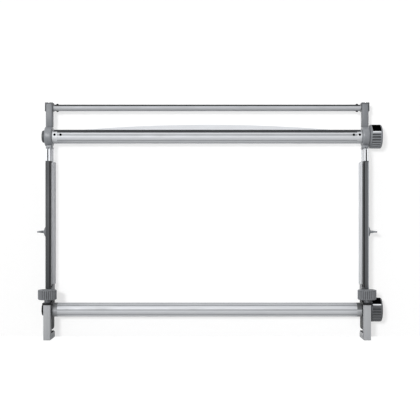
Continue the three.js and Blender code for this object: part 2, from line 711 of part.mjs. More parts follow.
// Upper housing: drum round the roller bush, on a collar whose spigot plugs the slide
function upperHousing() {
  const drum = turnedAboutX([
    [0, -BEARING_HALF_WIDTH],
    [DRUM_RADIUS - DRUM_EDGE, -BEARING_HALF_WIDTH],
    [DRUM_RADIUS, DRUM_EDGE - BEARING_HALF_WIDTH],
    [DRUM_RADIUS, BEARING_HALF_WIDTH - DRUM_EDGE],
    [DRUM_RADIUS - DRUM_EDGE, BEARING_HALF_WIDTH],
    [0, BEARING_HALF_WIDTH],
  ], FINE_FACETS);
  const neckWidth = DRUM_NECK_HALF_WIDTH;
  const neckDepth = DRUM_NECK_HALF_DEPTH;
  const collar = rectangle(
    -COLLAR_HALF_WIDTH,
    COLLAR_HALF_WIDTH,
    -COLLAR_HALF_DEPTH,
    COLLAR_HALF_DEPTH,
    COLLAR_CORNER,
  );
  const spigotWidth = slideHalfWidth - SLIDE_WALL - CLEARANCE;
  const spigotDepth = slideHalfDepth - SLIDE_WALL - CLEARANCE;
  const spigotFoot = collarBottom - SPIGOT_LENGTH;
  const spigotTop = slideTop - SPIGOT_SUNK;
  const body = joined(
    drum.translate(0, 0, UPPER_AXIS_HEIGHT),
    block(-neckWidth, neckWidth, -neckDepth, neckDepth, collarBottom, drumBottom + DRUM_NECK_HEIGHT),
    alongZ(collar, collarBottom, collarTop),
    block(-spigotWidth, spigotWidth, -neckDepth, neckDepth, spigotFoot, collarTop),
    block(-spigotWidth, spigotWidth, -spigotDepth, spigotDepth, spigotFoot, spigotTop),
  );
  const throughBearing = BEARING_HALF_WIDTH + OVERRUN;
  const bearing = rodAboutX(bushRadius + CLEARANCE, -throughBearing, throughBearing);
  const pocketWidth = TENON_HALF_WIDTH + CLEARANCE;
  const pocketDepth = TENON_HALF_DEPTH + CLEARANCE;
  const pocketFloor = drumTop - TENON_DEPTH - CLEARANCE;
  return cut(
    body,
    bearing.translate(0, 0, UPPER_AXIS_HEIGHT),
    block(-pocketWidth, pocketWidth, -pocketDepth, pocketDepth, pocketFloor, drumTop + OVERRUN),
  );
}

function bearingBush(axisHeight) {
  const sleeve = sleeveAboutX(shaftBoreRadius, bushRadius, -BEARING_HALF_WIDTH, BEARING_HALF_WIDTH);
  return sleeve.translate(0, 0, axisHeight);
}

// Arm: saddle and tenon on the drum, spigot for the yarn rail near the top
function arm() {
  const halfWidth = ARM_WIDTH / 2;
  const outline = rectangle(-halfWidth, halfWidth, -ARM_DEPTH / 2, ARM_DEPTH / 2, ARM_CORNER);
  const top = capTop - CAP_TOP_WALL - CLEARANCE;
  const saddle = rodAboutX(DRUM_RADIUS + CLEARANCE, -ARM_WIDTH, ARM_WIDTH, FINE_FACETS);
  const upright = cut(
    alongZ(outline, drumTop - ARM_SADDLE_DEPTH, top),
    saddle.translate(0, 0, UPPER_AXIS_HEIGHT),
  );
  const tenonTop = drumTop + TENON_DEPTH;
  const tenon = block(
    -TENON_HALF_WIDTH,
    TENON_HALF_WIDTH,
    -TENON_HALF_DEPTH,
    TENON_HALF_DEPTH,
    drumTop - TENON_DEPTH,
    tenonTop,
  );
  const spigotEnd = -capHalfWidth - CLEARANCE - RAIL_SPIGOT_LENGTH;
  const spigot = rodAboutX(railSpigotRadius, spigotEnd, 0, COARSE_FACETS).translate(0, 0, railHeight);
  const rivetHole = rodAboutZ(
    RIVET_RADIUS + CLEARANCE,
    railHeight - YARN_RAIL_RADIUS,
    railHeight + YARN_RAIL_RADIUS,
    COARSE_FACETS,
  );
  return cut(joined(upright, tenon, spigot), rivetHole.translate(-RIVET_INSET, 0, 0));
}

// Arm cap: cheeks on both sides of the arm under a notched top
function armCap() {
  const w = capHalfWidth;
  const inner = w - CAP_CHEEK;
  const bottom = capTop - CAP_HEIGHT;
  const ceiling = capTop - CAP_TOP_WALL;
  const outline = roundedOutline([
    [-w, bottom, 0],
    [-w, capTop, CAP_CHEEK],
    [w, capTop, CAP_CHEEK],
    [w, bottom, 0],
    [inner, bottom, 0],
    [inner, ceiling, 0],
    [-inner, ceiling, 0],
    [-inner, bottom, 0],
  ]);
  const slot = railSpigotRadius + CLEARANCE;
  const slotStart = -w - OVERRUN;
  const slotRound = rodAboutX(slot, slotStart, 0, COARSE_FACETS).translate(0, 0, railHeight);
  const notch = roundedOutline([
    [-CAP_NOTCH_HALF_WIDTH, capTop, 0],
    [0, capTop - CAP_NOTCH_DEPTH, 0],
    [CAP_NOTCH_HALF_WIDTH, capTop, 0],
    [CAP_NOTCH_HALF_WIDTH, capTop + OVERRUN, 0],
    [-CAP_NOTCH_HALF_WIDTH, capTop + OVERRUN, 0],
  ]);
  return cut(
    alongY(outline, -CAP_HALF_DEPTH, CAP_HALF_DEPTH),
    slotRound,
    block(slotStart, 0, -slot, slot, bottom - OVERRUN, railHeight),
    alongY(notch, -CAP_HALF_DEPTH - OVERRUN, CAP_HALF_DEPTH + OVERRUN),
  );
}

// Tubular rivet that fixes the yarn rail on the arm's spigot
function railRivet() {
  const under = YARN_RAIL_RADIUS + SEAT_GAP;
  const end = under + RIVET_HEAD_HEIGHT;
  const crown = RIVET_HEAD_RADIUS / 2;
  const rivet = turnedAboutZ([
    [0, -end],
    [crown, -end],
    [RIVET_HEAD_RADIUS, -under],
    [RIVET_RADIUS, -under],
    [RIVET_RADIUS, under],
    [RIVET_HEAD_RADIUS, under],
    [crown, end],
    [0, end],
  ], COARSE_FACETS);
  return rivet.translate(-RIVET_INSET, 0, railHeight);
}

// Yarn rail: round tube between the caps, with a sunk line along its upper front
function yarnRail() {
  const half = SIDE_OFFSET - capHalfWidth - CLEARANCE;
  const line = recess(YARN_RAIL_LINE_ANGLE, YARN_RAIL_LINE_WIDTH, YARN_RAIL_LINE_DEPTH, YARN_RAIL_RADIUS);
  const tube = recessedTube(YARN_RAIL_RADIUS, YARN_RAIL_WALL, [line], -half, half);
  const holes = [-1, 1].map((sign) =>
    rodAboutZ(
      RIVET_RADIUS + CLEARANCE,
      -YARN_RAIL_RADIUS - OVERRUN,
      YARN_RAIL_RADIUS + OVERRUN,
      COARSE_FACETS,
    ).translate(sign * (SIDE_OFFSET - RIVET_INSET), 0, 0),
  );
  return cut(tube, ...holes).translate(0, 0, railHeight);
}

// Roller tube: recess for the grip inlay, slot for the cloth leader, fine lines and screw holes
function rollerTube() {
  const leaderSlotWidth = LEADER_THICKNESS + 2 * CLEARANCE;
  const lines = LINE_GROOVE_ANGLES.map((angle) =>
    recess(angle, LINE_GROOVE_WIDTH, LINE_GROOVE_DEPTH, ROLLER_RADIUS),
  );
  const recesses = [
    ...lines,
    { from: INLAY_FROM_ANGLE, to: INLAY_TO_ANGLE, depth: INLAY_DEPTH },
    recess(LEADER_SLOT_ANGLE, leaderSlotWidth, LEADER_SLOT_DEPTH, ROLLER_RADIUS),
  ].sort((a, b) => a.from - b.from);
  const tube = recessedTube(ROLLER_RADIUS, ROLLER_WALL, recesses, -rollerHalfLength, rollerHalfLength);
  const holes = [-1, 1].flatMap((sign) =>
    screwInsets.map((inset) => screwHole(sign * (SIDE_OFFSET - inset))),
  );
  return cut(tube, ...holes);
}

const screwInsets = [OUTER_SCREW_INSET, INNER_SCREW_INSET];

function screwHole(x) {
  const inner = ROLLER_RADIUS - ROLLER_SCREW_LENGTH - 2 * CLEARANCE;
  const outer = ROLLER_RADIUS + OVERRUN;
  return radialRod(ROLLER_SCREW_RADIUS + CLEARANCE, inner, outer, ROLLER_SCREW_ANGLE, x);
}

// End plug: fits in the tube and carries the shaft that turns in the bush
function rollerPlug(shaftPastHousing) {
  const shoulder = -endPieceStart - CLEARANCE;
  const plugRadius = ROLLER_RADIUS - ROLLER_WALL - CLEARANCE;
  const shaftEnd = BEARING_HALF_WIDTH + shaftPastHousing;
  const threadFloor = shaftEnd - SHAFT_THREAD_DEPTH;
  const plug = turnedAboutX([
    [0, shoulder - PLUG_LENGTH],
    [plugRadius, shoulder - PLUG_LENGTH],
    [plugRadius, shoulder],
    [SHAFT_RADIUS, shoulder],
    [SHAFT_RADIUS, shaftEnd - SHAFT_CHAMFER],
    [SHAFT_RADIUS - SHAFT_CHAMFER, shaftEnd],
    [SHAFT_THREAD_RADIUS, shaftEnd],
    [SHAFT_THREAD_RADIUS, threadFloor],
    [0, threadFloor],
  ]);
  return cut(plug, ...screwInsets.map((inset) => screwHole(-inset)));
}

// Set screw with a socket, sunk through the tube into the plug
function rollerScrew(inset) {
  const top = ROLLER_RADIUS - SEAT_GAP;
  const bottom = ROLLER_RADIUS - ROLLER_SCREW_LENGTH;
  const socketFloor = top - ROLLER_SCREW_SOCKET_DEPTH;
  const screw = turnedAboutZ([
    [0, bottom],
    [ROLLER_SCREW_RADIUS, bottom],
    [ROLLER_SCREW_RADIUS, top],
    [ROLLER_SCREW_SOCKET_RADIUS, top],
    [ROLLER_SCREW_SOCKET_RADIUS, socketFloor],
    [0, socketFloor],
  ], COARSE_FACETS);
  return screw.rotateX(radians(90 - ROLLER_SCREW_ANGLE)).translate(-inset, 0, 0);
}

function gripInlay() {
  const edge = spanAngle(CLEARANCE, ROLLER_RADIUS);
  const inner = ROLLER_RADIUS - INLAY_DEPTH + CLEARANCE;
  const band = arcBand(inner, ROLLER_RADIUS, INLAY_FROM_ANGLE + edge, INLAY_TO_ANGLE - edge);
  const half = rollerHalfLength - INLAY_END_INSET;
  return alongX(band, -half, half);
}

// Cloth leader: thin web standing in its slot, with a bowed free edge
function clothLeader() {
  const half = LEADER_CHORD / 2;
  const foot = ROLLER_RADIUS - LEADER_SLOT_DEPTH + CLEARANCE;
  const edge = Array.from({ length: LEADER_STEPS + 1 }, (_, i) => {
    const share = 1 - (2 * i) / LEADER_STEPS;
    return new THREE.Vector2(share * half, ROLLER_RADIUS + LEADER_RISE * (1 - share * share));
  });
  const outline = new THREE.Shape([new THREE.Vector2(-half, foot), new THREE.Vector2(half, foot), ...edge]);
  const web = alongY(outline, -LEADER_THICKNESS / 2, LEADER_THICKNESS / 2);
  return web.rotateX(radians(90 - LEADER_SLOT_ANGLE));
}

// End disc on the left end of each shaft
function endDisc() {
  const face = endPieceStart + DISC_LENGTH;
  const boreEnd = face - DISC_FACE_WALL;
  return turnedAboutX([
    [0, boreEnd],
    [shaftBoreRadius, boreEnd],
    [shaftBoreRadius, endPieceStart],
    [DISC_RADIUS, endPieceStart],
    ...roundedEdge(DISC_RADIUS, face, DISC_EDGE),
    [0, face],
  ]);
}

// Profile points round the outer edge of a turned piece that ends at a face
function roundedEdge(radius, face, round) {
  return Array.from({ length: CORNER_FACETS + 1 }, (_, i) => {
    const angle = (Math.PI / 2) * (i / CORNER_FACETS);
    return [radius - round * (1 - Math.cos(angle)), face - round * (1 - Math.sin(angle))];
  });
}

// Winding knob: tapered skirt, flutes, a pocket for the window insert and a recessed face
function windingKnob() {
  const recessFloor = knobReach - KNOB_FACE_RECESS_DEPTH;
  const boreEnd = recessFloor - KNOB_WEB;
  const skirtEnd = endPieceStart + KNOB_SKIRT_LENGTH;
  const screwBore = KNOB_SCREW_RADIUS + CLEARANCE;
  const body = turnedAboutX([
    [shaftBoreRadius, endPieceStart],
    [KNOB_SKIRT_RADIUS, endPieceStart],
    [KNOB_RADIUS, skirtEnd],
    ...roundedEdge(KNOB_RADIUS, knobReach, KNOB_EDGE),
    [KNOB_FACE_RECESS_RADIUS, knobReach],
    [KNOB_FACE_RECESS_RADIUS, recessFloor],
    [screwBore, recessFloor],
    [screwBore, boreEnd],
    [shaftBoreRadius, boreEnd],
    [shaftBoreRadius, endPieceStart],
  ], FINE_FACETS);
  const margin = WINDOW_FRAME_ANGLE + FULL_TURN / KNOB_FLUTE_COUNT / 2;
  const underWindow = (angle) => angle > WINDOW_FROM_ANGLE - margin && angle < WINDOW_TO_ANGLE + margin;
  const from = endPieceStart + KNOB_FLUTE_INSET;
  const to = knobReach - KNOB_FLUTE_INSET;
  const outline = flutedOutline(KNOB_RADIUS, KNOB_FLUTE_DEPTH, KNOB_FLUTE_COUNT, underWindow);
  const fluted = alongX(outline, from - OVERRUN, to + OVERRUN);
  const flutes = cut(rodAboutX(KNOB_RADIUS + 2 * OVERRUN, from, to), fluted);
  const pocketFloor = KNOB_RADIUS - WINDOW_DEPTH;
  const pocket = arcBand(pocketFloor, KNOB_RADIUS + OVERRUN, WINDOW_FROM_ANGLE, WINDOW_TO_ANGLE);
  return cut(
    body,
    flutes,
    alongX(pocket, endPieceStart + WINDOW_INNER_INSET, knobReach - WINDOW_OUTER_INSET),
  );
}

function knobWindow() {
  const edge = spanAngle(CLEARANCE, KNOB_RADIUS);
  const floor = KNOB_RADIUS - WINDOW_DEPTH + CLEARANCE;
  const face = KNOB_RADIUS - SEAT_GAP;
  const band = arcBand(floor, face, WINDOW_FROM_ANGLE + edge, WINDOW_TO_ANGLE - edge);
  const inner = endPieceStart + WINDOW_INNER_INSET + CLEARANCE;
  return alongX(band, inner, knobReach - WINDOW_OUTER_INSET - CLEARANCE);
}

function knobScrew() {
  const under = knobReach - KNOB_FACE_RECESS_DEPTH + SEAT_GAP;
  return turnedAboutX([
    [0, under - KNOB_SCREW_LENGTH],
    [KNOB_SCREW_RADIUS, under - KNOB_SCREW_LENGTH],
    [KNOB_SCREW_RADIUS, under],
    [KNOB_SCREW_HEAD_RADIUS, under],
    [KNOB_SCREW_HEAD_RADIUS, under + KNOB_SCREW_HEAD_HEIGHT],
    [0, under + KNOB_SCREW_HEAD_HEIGHT],
  ], COARSE_FACETS);
}

// The frame as a scene graph. Each side is drawn once, with X pointing outboard, and mirrored for the left.
const frame = new THREE.Group();

function addMesh(parent, name, geometry, material) {
  const mesh = new THREE.Mesh(geometry, material);
  mesh.name = name;
  parent.add(mesh);
}

function sideGroup(parent, sign) {
  const group = new THREE.Group();
  group.position.x = sign * SIDE_OFFSET;
  group.scale.x = sign;
  parent.add(group);
  return group;
}

const sides = [
  { name: "left", sign: -1, shaft: SHAFT_PAST_HOUSING_LEFT },
  { name: "right", sign: 1, shaft: SHAFT_PAST_HOUSING_RIGHT },
];

const sidePieces = [
  ["foot_bracket", footBracket(), SATIN_ALUMINIUM],
  ["jaw_pad", jawPad(), RUBBER],
  ["clamp_screw", clampScrew(), STEEL],
  ["clamp_clip", clampClip(), BLACK_STEEL],
  ["clamp_knob", clampKnob(), GREY_PLASTIC],
  ["lower_housing", lowerHousing(), BLACK_PLASTIC],
  ["upper_jaw_pad", upperJawPad(), RUBBER],
  ["lower_bush", bearingBush(lowerAxisHeight), BUSH_PLASTIC],
  ["outer_post", outerPost(), DARK_ANODISED],
  ["side_rail", sideRail(), SATIN_ALUMINIUM],
  ["lock_boss", lockBoss(), GREY_PLASTIC],
  ["lock_pad", lockPad(), BRASS],
  ["wing_screw", wingScrew(), GREY_PLASTIC],
  ["inner_slide", innerSlide(), BRIGHT_ALUMINIUM],
  ["upper_housing", upperHousing(), GREY_PLASTIC],
  ["upper_bush", bearingBush(UPPER_AXIS_HEIGHT), BUSH_PLASTIC],
  ["arm", arm(), GREY_PLASTIC],
  ["arm_cap", armCap(), DARK_PLASTIC],
  ["rail_rivet", railRivet(), BLACK_STEEL],
];

for (const { name, sign } of sides) {
  const group = sideGroup(frame, sign);
  for (const [piece, geometry, material] of sidePieces) {
    addMesh(group, `${name}_${piece}`, geometry, material);
  }
}

addMesh(frame, "yarn_rail", yarnRail(), BRIGHT_ALUMINIUM);

// A roller: the barrel may be turned to any angle, while disc and knob stay as drawn
function addRoller(name, axisHeight, turnAngle) {
  const roller = new THREE.Group();
  roller.position.z = axisHeight;
  frame.add(roller);
  const barrel = new THREE.Group();
  barrel.rotation.x = -radians(turnAngle);
  roller.add(barrel);
  addMesh(barrel, `${name}_roller`, rollerTube(), BRIGHT_ALUMINIUM);
  addMesh(barrel, `${name}_grip_inlay`, gripInlay(), RUBBER);
  for (const { name: end, sign, shaft } of sides) {
    addMesh(sideGroup(barrel, sign), `${name}_${end}_plug`, rollerPlug(shaft), BLACK_PLASTIC);
  }
  addMesh(sideGroup(roller, -1), `${name}_end_disc`, endDisc(), DARK_PLASTIC);
  const knobEnd = sideGroup(roller, 1);
  addMesh(knobEnd, `${name}_knob`, windingKnob(), DARK_PLASTIC);
  addMesh(knobEnd, `${name}_knob_window`, knobWindow(), GLOSS_BLACK);
  addMesh(knobEnd, `${name}_knob_screw`, knobScrew(), BLACK_STEEL);
  return barrel;
}

addRoller("lower", lowerAxisHeight, LOWER_ROLLER_TURN_ANGLE);
const upperBarrel = addRoller("upper", UPPER_AXIS_HEIGHT, 0);
addMesh(upperBarrel, "cloth_leader", clothLeader(), WHITE_CLOTH);
for (const { name, sign } of sides) {
  const group = sideGroup(upperBarrel, sign);
  addMesh(group, `${name}_outer_set_screw`, rollerScrew(OUTER_SCREW_INSET), BLACK_STEEL);
  addMesh(group, `${name}_inner_set_screw`, rollerScrew(INNER_SCREW_INSET), BLACK_STEEL);
}

// Middle of the footprint: wing tip to knob face across, ring knob to winding knob in depth
frame.position.x = (WING_REACH - knobReach) / 2;
frame.position.y = (CLAMP_AXIS_FORWARD + RING_RADIUS - KNOB_RADIUS) / 2;

export default frame;
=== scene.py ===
"""Looks of the rug tufting frame: materials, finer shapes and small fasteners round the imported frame."""

import math

import bmesh
import bpy
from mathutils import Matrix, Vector


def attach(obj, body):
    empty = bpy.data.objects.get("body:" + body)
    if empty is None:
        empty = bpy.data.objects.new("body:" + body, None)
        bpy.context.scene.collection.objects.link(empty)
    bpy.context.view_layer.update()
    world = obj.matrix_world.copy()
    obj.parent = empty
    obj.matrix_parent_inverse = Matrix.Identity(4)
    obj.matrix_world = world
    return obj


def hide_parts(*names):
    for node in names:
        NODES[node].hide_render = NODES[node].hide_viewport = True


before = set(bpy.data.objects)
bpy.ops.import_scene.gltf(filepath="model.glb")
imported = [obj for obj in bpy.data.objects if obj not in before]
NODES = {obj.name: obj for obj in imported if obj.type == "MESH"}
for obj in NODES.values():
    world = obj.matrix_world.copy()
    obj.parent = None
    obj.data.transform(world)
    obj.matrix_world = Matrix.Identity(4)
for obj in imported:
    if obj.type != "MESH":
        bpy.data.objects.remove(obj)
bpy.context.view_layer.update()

# Main sizes and places in millimetres; angles are in degrees, from the front upwards
MM = 0.001
SIDE = 364.0  # middle plane of each side, from the middle of the frame
SHIFT = (-5.8, 11.9)  # from the roller axes' plane to the frame's origin
LOWER_Z, UPPER_Z, RAIL_Z, LOCK_Z = 66.0, 465.5, 532.0, 246.0
LOCK_V, CLAMP_V = -12.8, -30.0  # axes of the locks and the clamp screws, in front of the roller axes
SIGNS = (("left", -1), ("right", 1))
TUBE_R, TUBE_BORE, TUBE_HALF = 16.0, 13.0, 355.7
INLAY_HALF = 353.7
LOWER_TURN = 130.0  # the lower roller stands turned by this much, with its inlay at the back
SCREW_ANGLE, LEADER_ANGLE = 11.7, 98.0
SHAFT_BORE = 6.3  # round the roller shafts
KNOB_R, KNOB_IN, KNOB_OUT = 27.5, 8.3, 37.5
FLUTE_U = (KNOB_IN + 4.6, KNOB_OUT - 4.0)
POCKET_U = (KNOB_IN + 5.6, KNOB_OUT - 3.0)
POCKET_LOW = {"lower": 23.0, "upper": 12.0}  # the window of the lower knob starts higher
POCKET_HIGH = 117.0
DISC_R = 14.2
RING_R, RING_Z, RING_FLUTES = 21.1, (92.0, 114.4), 28
FRONT_LINE, POST_LINE_Z = (-24.1, -23.9), (118.6, 406.4)  # thin lines on the front of the posts: painted shade at the inner corner, painted highlight at the outer corner


# Materials
def plug(tree, target, **sockets):
    """Sets the sockets of a node, or links them where the value is another node's output."""
    for key, value in sockets.items():
        socket = target.inputs[key.replace("_", " ")]
        if isinstance(value, bpy.types.NodeSocket):
            tree.links.new(value, socket)
        else:
            socket.default_value = value


def node(tree, kind, x=0, y=0, **sockets):
    made = tree.nodes.new(kind)
    made.location = (x, y)
    plug(tree, made, **sockets)
    return made


def fed(tree, kind, x, *sources, y=0, operation=None):
    """Output of a node whose inputs are linked in their order."""
    made = node(tree, kind, x, y)
    if operation:
        made.operation = operation
    for socket, source in zip(made.inputs, sources):
        tree.links.new(source, socket)
    return made.outputs[0]


def emptied_tree(owner):
    owner.use_nodes = True
    owner.node_tree.nodes.clear()
    return owner.node_tree


def new_material(name):
    material = bpy.data.materials.new(name)
    tree = emptied_tree(material)
    shader = node(tree, "ShaderNodeBsdfPrincipled", 620)
    node(tree, "ShaderNodeOutputMaterial", 900, Surface=shader.outputs["BSDF"])
    return material, tree, shader


def noise(tree, coords, scale, detail, stretch=(1, 1, 1), y=0):
    mapping = node(tree, "ShaderNodeMapping", -700, y, Vector=coords, Scale=stretch)
    made = node(tree, "ShaderNodeTexNoise", -480, y, Vector=mapping.outputs["Vector"], Scale=scale,
                Detail=detail, Roughness=0.55)
    return made.outputs["Fac"]


def ramp(tree, value, stops, y):
    made = node(tree, "ShaderNodeValToRGB", -240, y, Fac=value)
    band = made.color_ramp
    while len(band.elements) < len(stops):
        band.elements.new(0.5)
    for element, (place, colour) in zip(band.elements, stops):
        element.position = place
        element.color = (*colour, 1)
    return made.outputs["Color"]


def spread(tree, value, low, high, y):
    made = node(tree, "ShaderNodeMapRange", 120, y, Value=value, From_Min=0.3, From_Max=0.7,
                To_Min=low, To_Max=high)
    return made.outputs["Result"]


def multiplied(tree, a, b, y):
    made = node(tree, "ShaderNodeMix", 140, y)
    made.data_type = "RGBA"
    made.blend_type = "MULTIPLY"
    plug(tree, made, Factor=1.0, A=a, B=b)
    return made.outputs["Result"]


def bump(tree, height, strength, distance, y=-420, **before):
    made = node(tree, "ShaderNodeBump", 380, y, Strength=strength, Distance=distance, Height=height, **before)
    return made.outputs["Normal"]


def tint(colour, factor):
    return tuple(min(1.0, c * factor) for c in colour)


def metal(name, colour, rough, metallic, stretch, relief=0.06):
    """Drawn or brushed metal: streaks along one axis, cloudy handling marks and a little pitting."""
    material, tree, shader = new_material(name)
    coords = node(tree, "ShaderNodeTexCoord", -900).outputs["Object"]
    streaks = noise(tree, coords, 1.0, 3, stretch, 200)
    clouds = noise(tree, coords, 22.0, 3, y=-100)
    fine = noise(tree, coords, 2600.0, 2, y=-400)
    base = ramp(tree, streaks, [(0.25, tint(colour, 0.93)), (0.5, colour), (0.78, tint(colour, 1.06))], 200)
    marks = ramp(tree, clouds, [(0.3, (0.93, 0.93, 0.94)), (0.62, (1, 1, 1))], -100)
    drawn = bump(tree, streaks, relief, 0.00004, -700)
    plug(tree, shader, Base_Color=multiplied(tree, base, marks, 120), Metallic=metallic,
         Roughness=spread(tree, clouds, rough - 0.05, rough + 0.07, -140),
         Normal=bump(tree, fine, relief * 0.7, 0.00003, Normal=drawn))
    return material


def plastic(name, colour, rough, grain=1500.0, relief=0.22):
    """Moulded plastic: spark-eroded grain, slight mottling and paler rubbed patches."""
    material, tree, shader = new_material(name)
    coords = node(tree, "ShaderNodeTexCoord", -900).outputs["Object"]
    pits = noise(tree, coords, grain, 3, y=200)
    patches = noise(tree, coords, 40.0, 4, y=-150)
    base = ramp(tree, pits, [(0.3, tint(colour, 0.9)), (0.7, tint(colour, 1.08))], 200)
    rubbed = ramp(tree, patches, [(0.35, (0.94, 0.94, 0.95)), (0.7, (1, 1, 1))], -150)
    plug(tree, shader, Base_Color=multiplied(tree, base, rubbed, 120),
         Roughness=spread(tree, patches, rough - 0.06, rough + 0.06, -160),
         Normal=bump(tree, pits, relief, 0.00006))
    return material


def cloth(name, colour):
    """Plain-weave cotton: crossing threads, slubs and a soft sheen."""
    material, tree, shader = new_material(name)
    coords = node(tree, "ShaderNodeTexCoord", -900).outputs["Object"]
    threads = []
    for direction, y in (("X", 300), ("Z", 0)):
        wave = node(tree, "ShaderNodeTexWave", -480, y, Vector=coords, Scale=420.0, Distortion=0.6, Detail=1.0)
        wave.bands_direction = direction
        threads.append(wave.outputs["Fac"])
    weave = fed(tree, "ShaderNodeMath", -240, *threads, y=150, operation="MULTIPLY")
    slubs = noise(tree, coords, 90.0, 4, (0.3, 1, 1), -300)
    base = ramp(tree, weave, [(0.0, tint(colour, 0.86)), (0.6, colour)], 150)
    shade = ramp(tree, slubs, [(0.3, (0.95, 0.95, 0.95)), (0.7, (1, 1, 1))], -300)
    plug(tree, shader, Base_Color=multiplied(tree, base, shade, 100), Roughness=0.92, Sheen_Weight=0.25,
         Normal=bump(tree, weave, 0.5, 0.0002))
    return material


def grey(value, cast=1.0):
    """Linear colour of an 8-bit grey with the faint blue cast of the photo; a cast of 1 suits the metals."""
    linear = ((value / 255 + 0.055) / 1.055) ** 2.4
    return (linear * (1 - 0.028 * cast), linear * (1 - 0.006 * cast), linear * (1 + 0.026 * cast))


ALONG_X = (5, 900, 900)
ALONG_Z = (900, 900, 5)
MAT = {
    "roller": metal("drawn_aluminium", grey(188), 0.65, 0.85, ALONG_X),
    # the flutes and die lines of the rollers are painted darker, as shade in their hollows
    "flute": metal("roller_flute_painted_shade_aluminium", grey(156), 0.65, 0.75, ALONG_X),
    "groove": metal("die_line_painted_shade_aluminium", grey(148), 0.7, 0.7, ALONG_X),
    # the end collars of the two sides are lit and shaded copies of one metal: the left one is painted lighter
    "left_end": metal("left_end_collar_aluminium", grey(206), 0.6, 0.4, ALONG_X),
    "right_end": metal("right_end_collar_aluminium", grey(188), 0.6, 0.8, ALONG_X),
    # the lower collars are painted darker than the upper ones, as shade, and darker still above, as painted shade
    # under the clamps
    "lower_left_end": metal("lower_left_collar_painted_shade_aluminium", grey(158), 0.6, 0.5, ALONG_X),
    "lower_right_end": metal("lower_right_collar_painted_shade_aluminium", grey(172), 0.6, 0.5, ALONG_X),
    "lower_left_shade": metal("lower_left_collar_painted_shade_above", grey(122), 0.6, 0.5, ALONG_X),
    "lower_right_shade": metal("lower_right_collar_painted_shade_above", grey(94), 0.6, 0.5, ALONG_X),
    "yarn": metal("yarn_rail_aluminium", grey(172), 0.75, 0.95, ALONG_X),
    "slide": metal("bright_slide_aluminium", grey(218), 0.6, 0.35, ALONG_Z),
    "rail": metal("satin_rail_aluminium", grey(180), 0.6, 0.55, ALONG_Z),
    # the edge strips of the posts are painted highlights, stronger on the right
    "left_edge": metal("left_edge_painted_highlight_aluminium", grey(76, 2.0), 0.55, 0.35, ALONG_Z, 0.04),
    "right_edge": metal("right_edge_painted_highlight_aluminium", grey(150, 2.0), 0.55, 0.5, ALONG_Z, 0.04),
    # the right rail is a lit copy of the left one, painted lighter
    "right_rail": metal("right_rail_painted_light_aluminium", grey(194), 0.6, 0.5, ALONG_Z),
    "foot": metal("satin_foot_aluminium", grey(166), 0.65, 0.15, ALONG_Z),
    # the right post is a lit copy of the left one, painted lighter
    "post": metal("dark_anodised_aluminium", grey(66, 2.0), 0.55, 0.35, ALONG_Z, 0.04),
    "right_post": metal("right_anodised_painted_light_aluminium", grey(86, 2.0), 0.55, 0.35, ALONG_Z, 0.04),
    "steel": metal("dark_plated_steel", grey(98, 2.0), 0.45, 0.4, (900, 900, 40)),
    "bright_screw": metal("bright_screw_steel", grey(214), 0.4, 0.8, (400, 400, 400)),
    "black_steel": metal("black_oxide_steel", grey(24), 0.5, 0.2, (300, 300, 300)),
    "brass": metal("turned_brass", (0.56, 0.42, 0.17), 0.4, 0.8, (60, 900, 900)),
    "grey": plastic("grey_moulded_plastic", grey(124, 2.0), 0.5),
    "drum": plastic("grey_drum_plastic", grey(140, 2.0), 0.38),
    "ring": plastic("grey_ring_plastic", grey(122, 2.0), 0.55),
    "dark": plastic("dark_moulded_plastic", grey(134, 2.0), 0.46),
    "pad": plastic("socket_pad_plastic", grey(112, 2.0), 0.5),
    # the lower knob's plastics are darker copies of the upper knob's, painted shade
    "shaded": plastic("lower_knob_painted_shade_plastic", grey(88, 2.0), 0.46),
    "shaded_flutes": plastic("lower_flute_painted_shade_plastic", grey(58, 2.0), 0.5),
    # the flutes of the knobs are painted darker, as shade in their hollows
    "flutes": plastic("flute_painted_shade_plastic", grey(76, 2.0), 0.5),
    "ring_flutes": plastic("ring_flute_painted_shade_plastic", grey(90, 2.0), 0.55),
    "cap": plastic("dark_cap_plastic", grey(84, 2.0), 0.5),
    # this black is real on the plugs and liners, and painted shade on the post strips, the slot, the lower
    # housing and the lower disc
    "black": plastic("black_plastic_and_painted_shade", grey(30, 2.0), 0.52),
    "disc": plastic("dark_disc_plastic", grey(80, 2.0), 0.48),
    "gloss": plastic("gloss_black_window", grey(3, 2.0), 0.3, 400.0, 0.03),
    "hole": plastic("dark_screw_socket", grey(2, 2.0), 0.7, 900.0, 0.05),
    # the pale line under each knob's window is a painted highlight
    "trim": plastic("painted_highlight_plastic", grey(244), 0.4, 900.0, 0.05),
    "rubber": plastic("black_rubber", grey(40, 2.0), 0.82, 900.0, 0.5),
    "inlay": plastic("grip_inlay_rubber", grey(66, 2.0), 0.75, 1100.0, 0.3),
    "wing": plastic("grey_painted_casting", grey(146, 2.0), 0.5),
    # the dark strip on the yarn rail is a painted dark reflection along its top
    "strip": plastic("rail_strip_painted_reflection", grey(50, 2.0), 0.7, 1100.0, 0.3),
    "bush": plastic("bearing_plastic", grey(206), 0.45, 900.0, 0.1),
    "cloth": cloth("white_cotton_leader", grey(242)),
}
# The lips of the rails and the screws of the sockets differ from side to side: the black right lip is painted
# shade, and the bright left screw is a painted highlight
MAT["left_lip"] = MAT["rail"]
MAT["right_lip"] = MAT["black"]
MAT["left_screw"] = MAT["bright_screw"]
MAT["right_screw"] = MAT["black_steel"]
for dull, shine in (("gloss", 0.0), ("hole", 0.0), ("inlay", 0.2), ("strip", 0.2), ("black_steel", 0.25),
                    ("black", 0.1), ("rubber", 0.25), ("disc", 0.3), ("post", 0.3)):
    MAT[dull].node_tree.nodes["Principled BSDF"].inputs["Specular IOR Level"].default_value = shine


def look(side, material):
    """The material of one side, where that side has its own copy, painted lighter or darker for the light on it.
    """
    own = f"{side}_{material}"
    return own if own in MAT else material


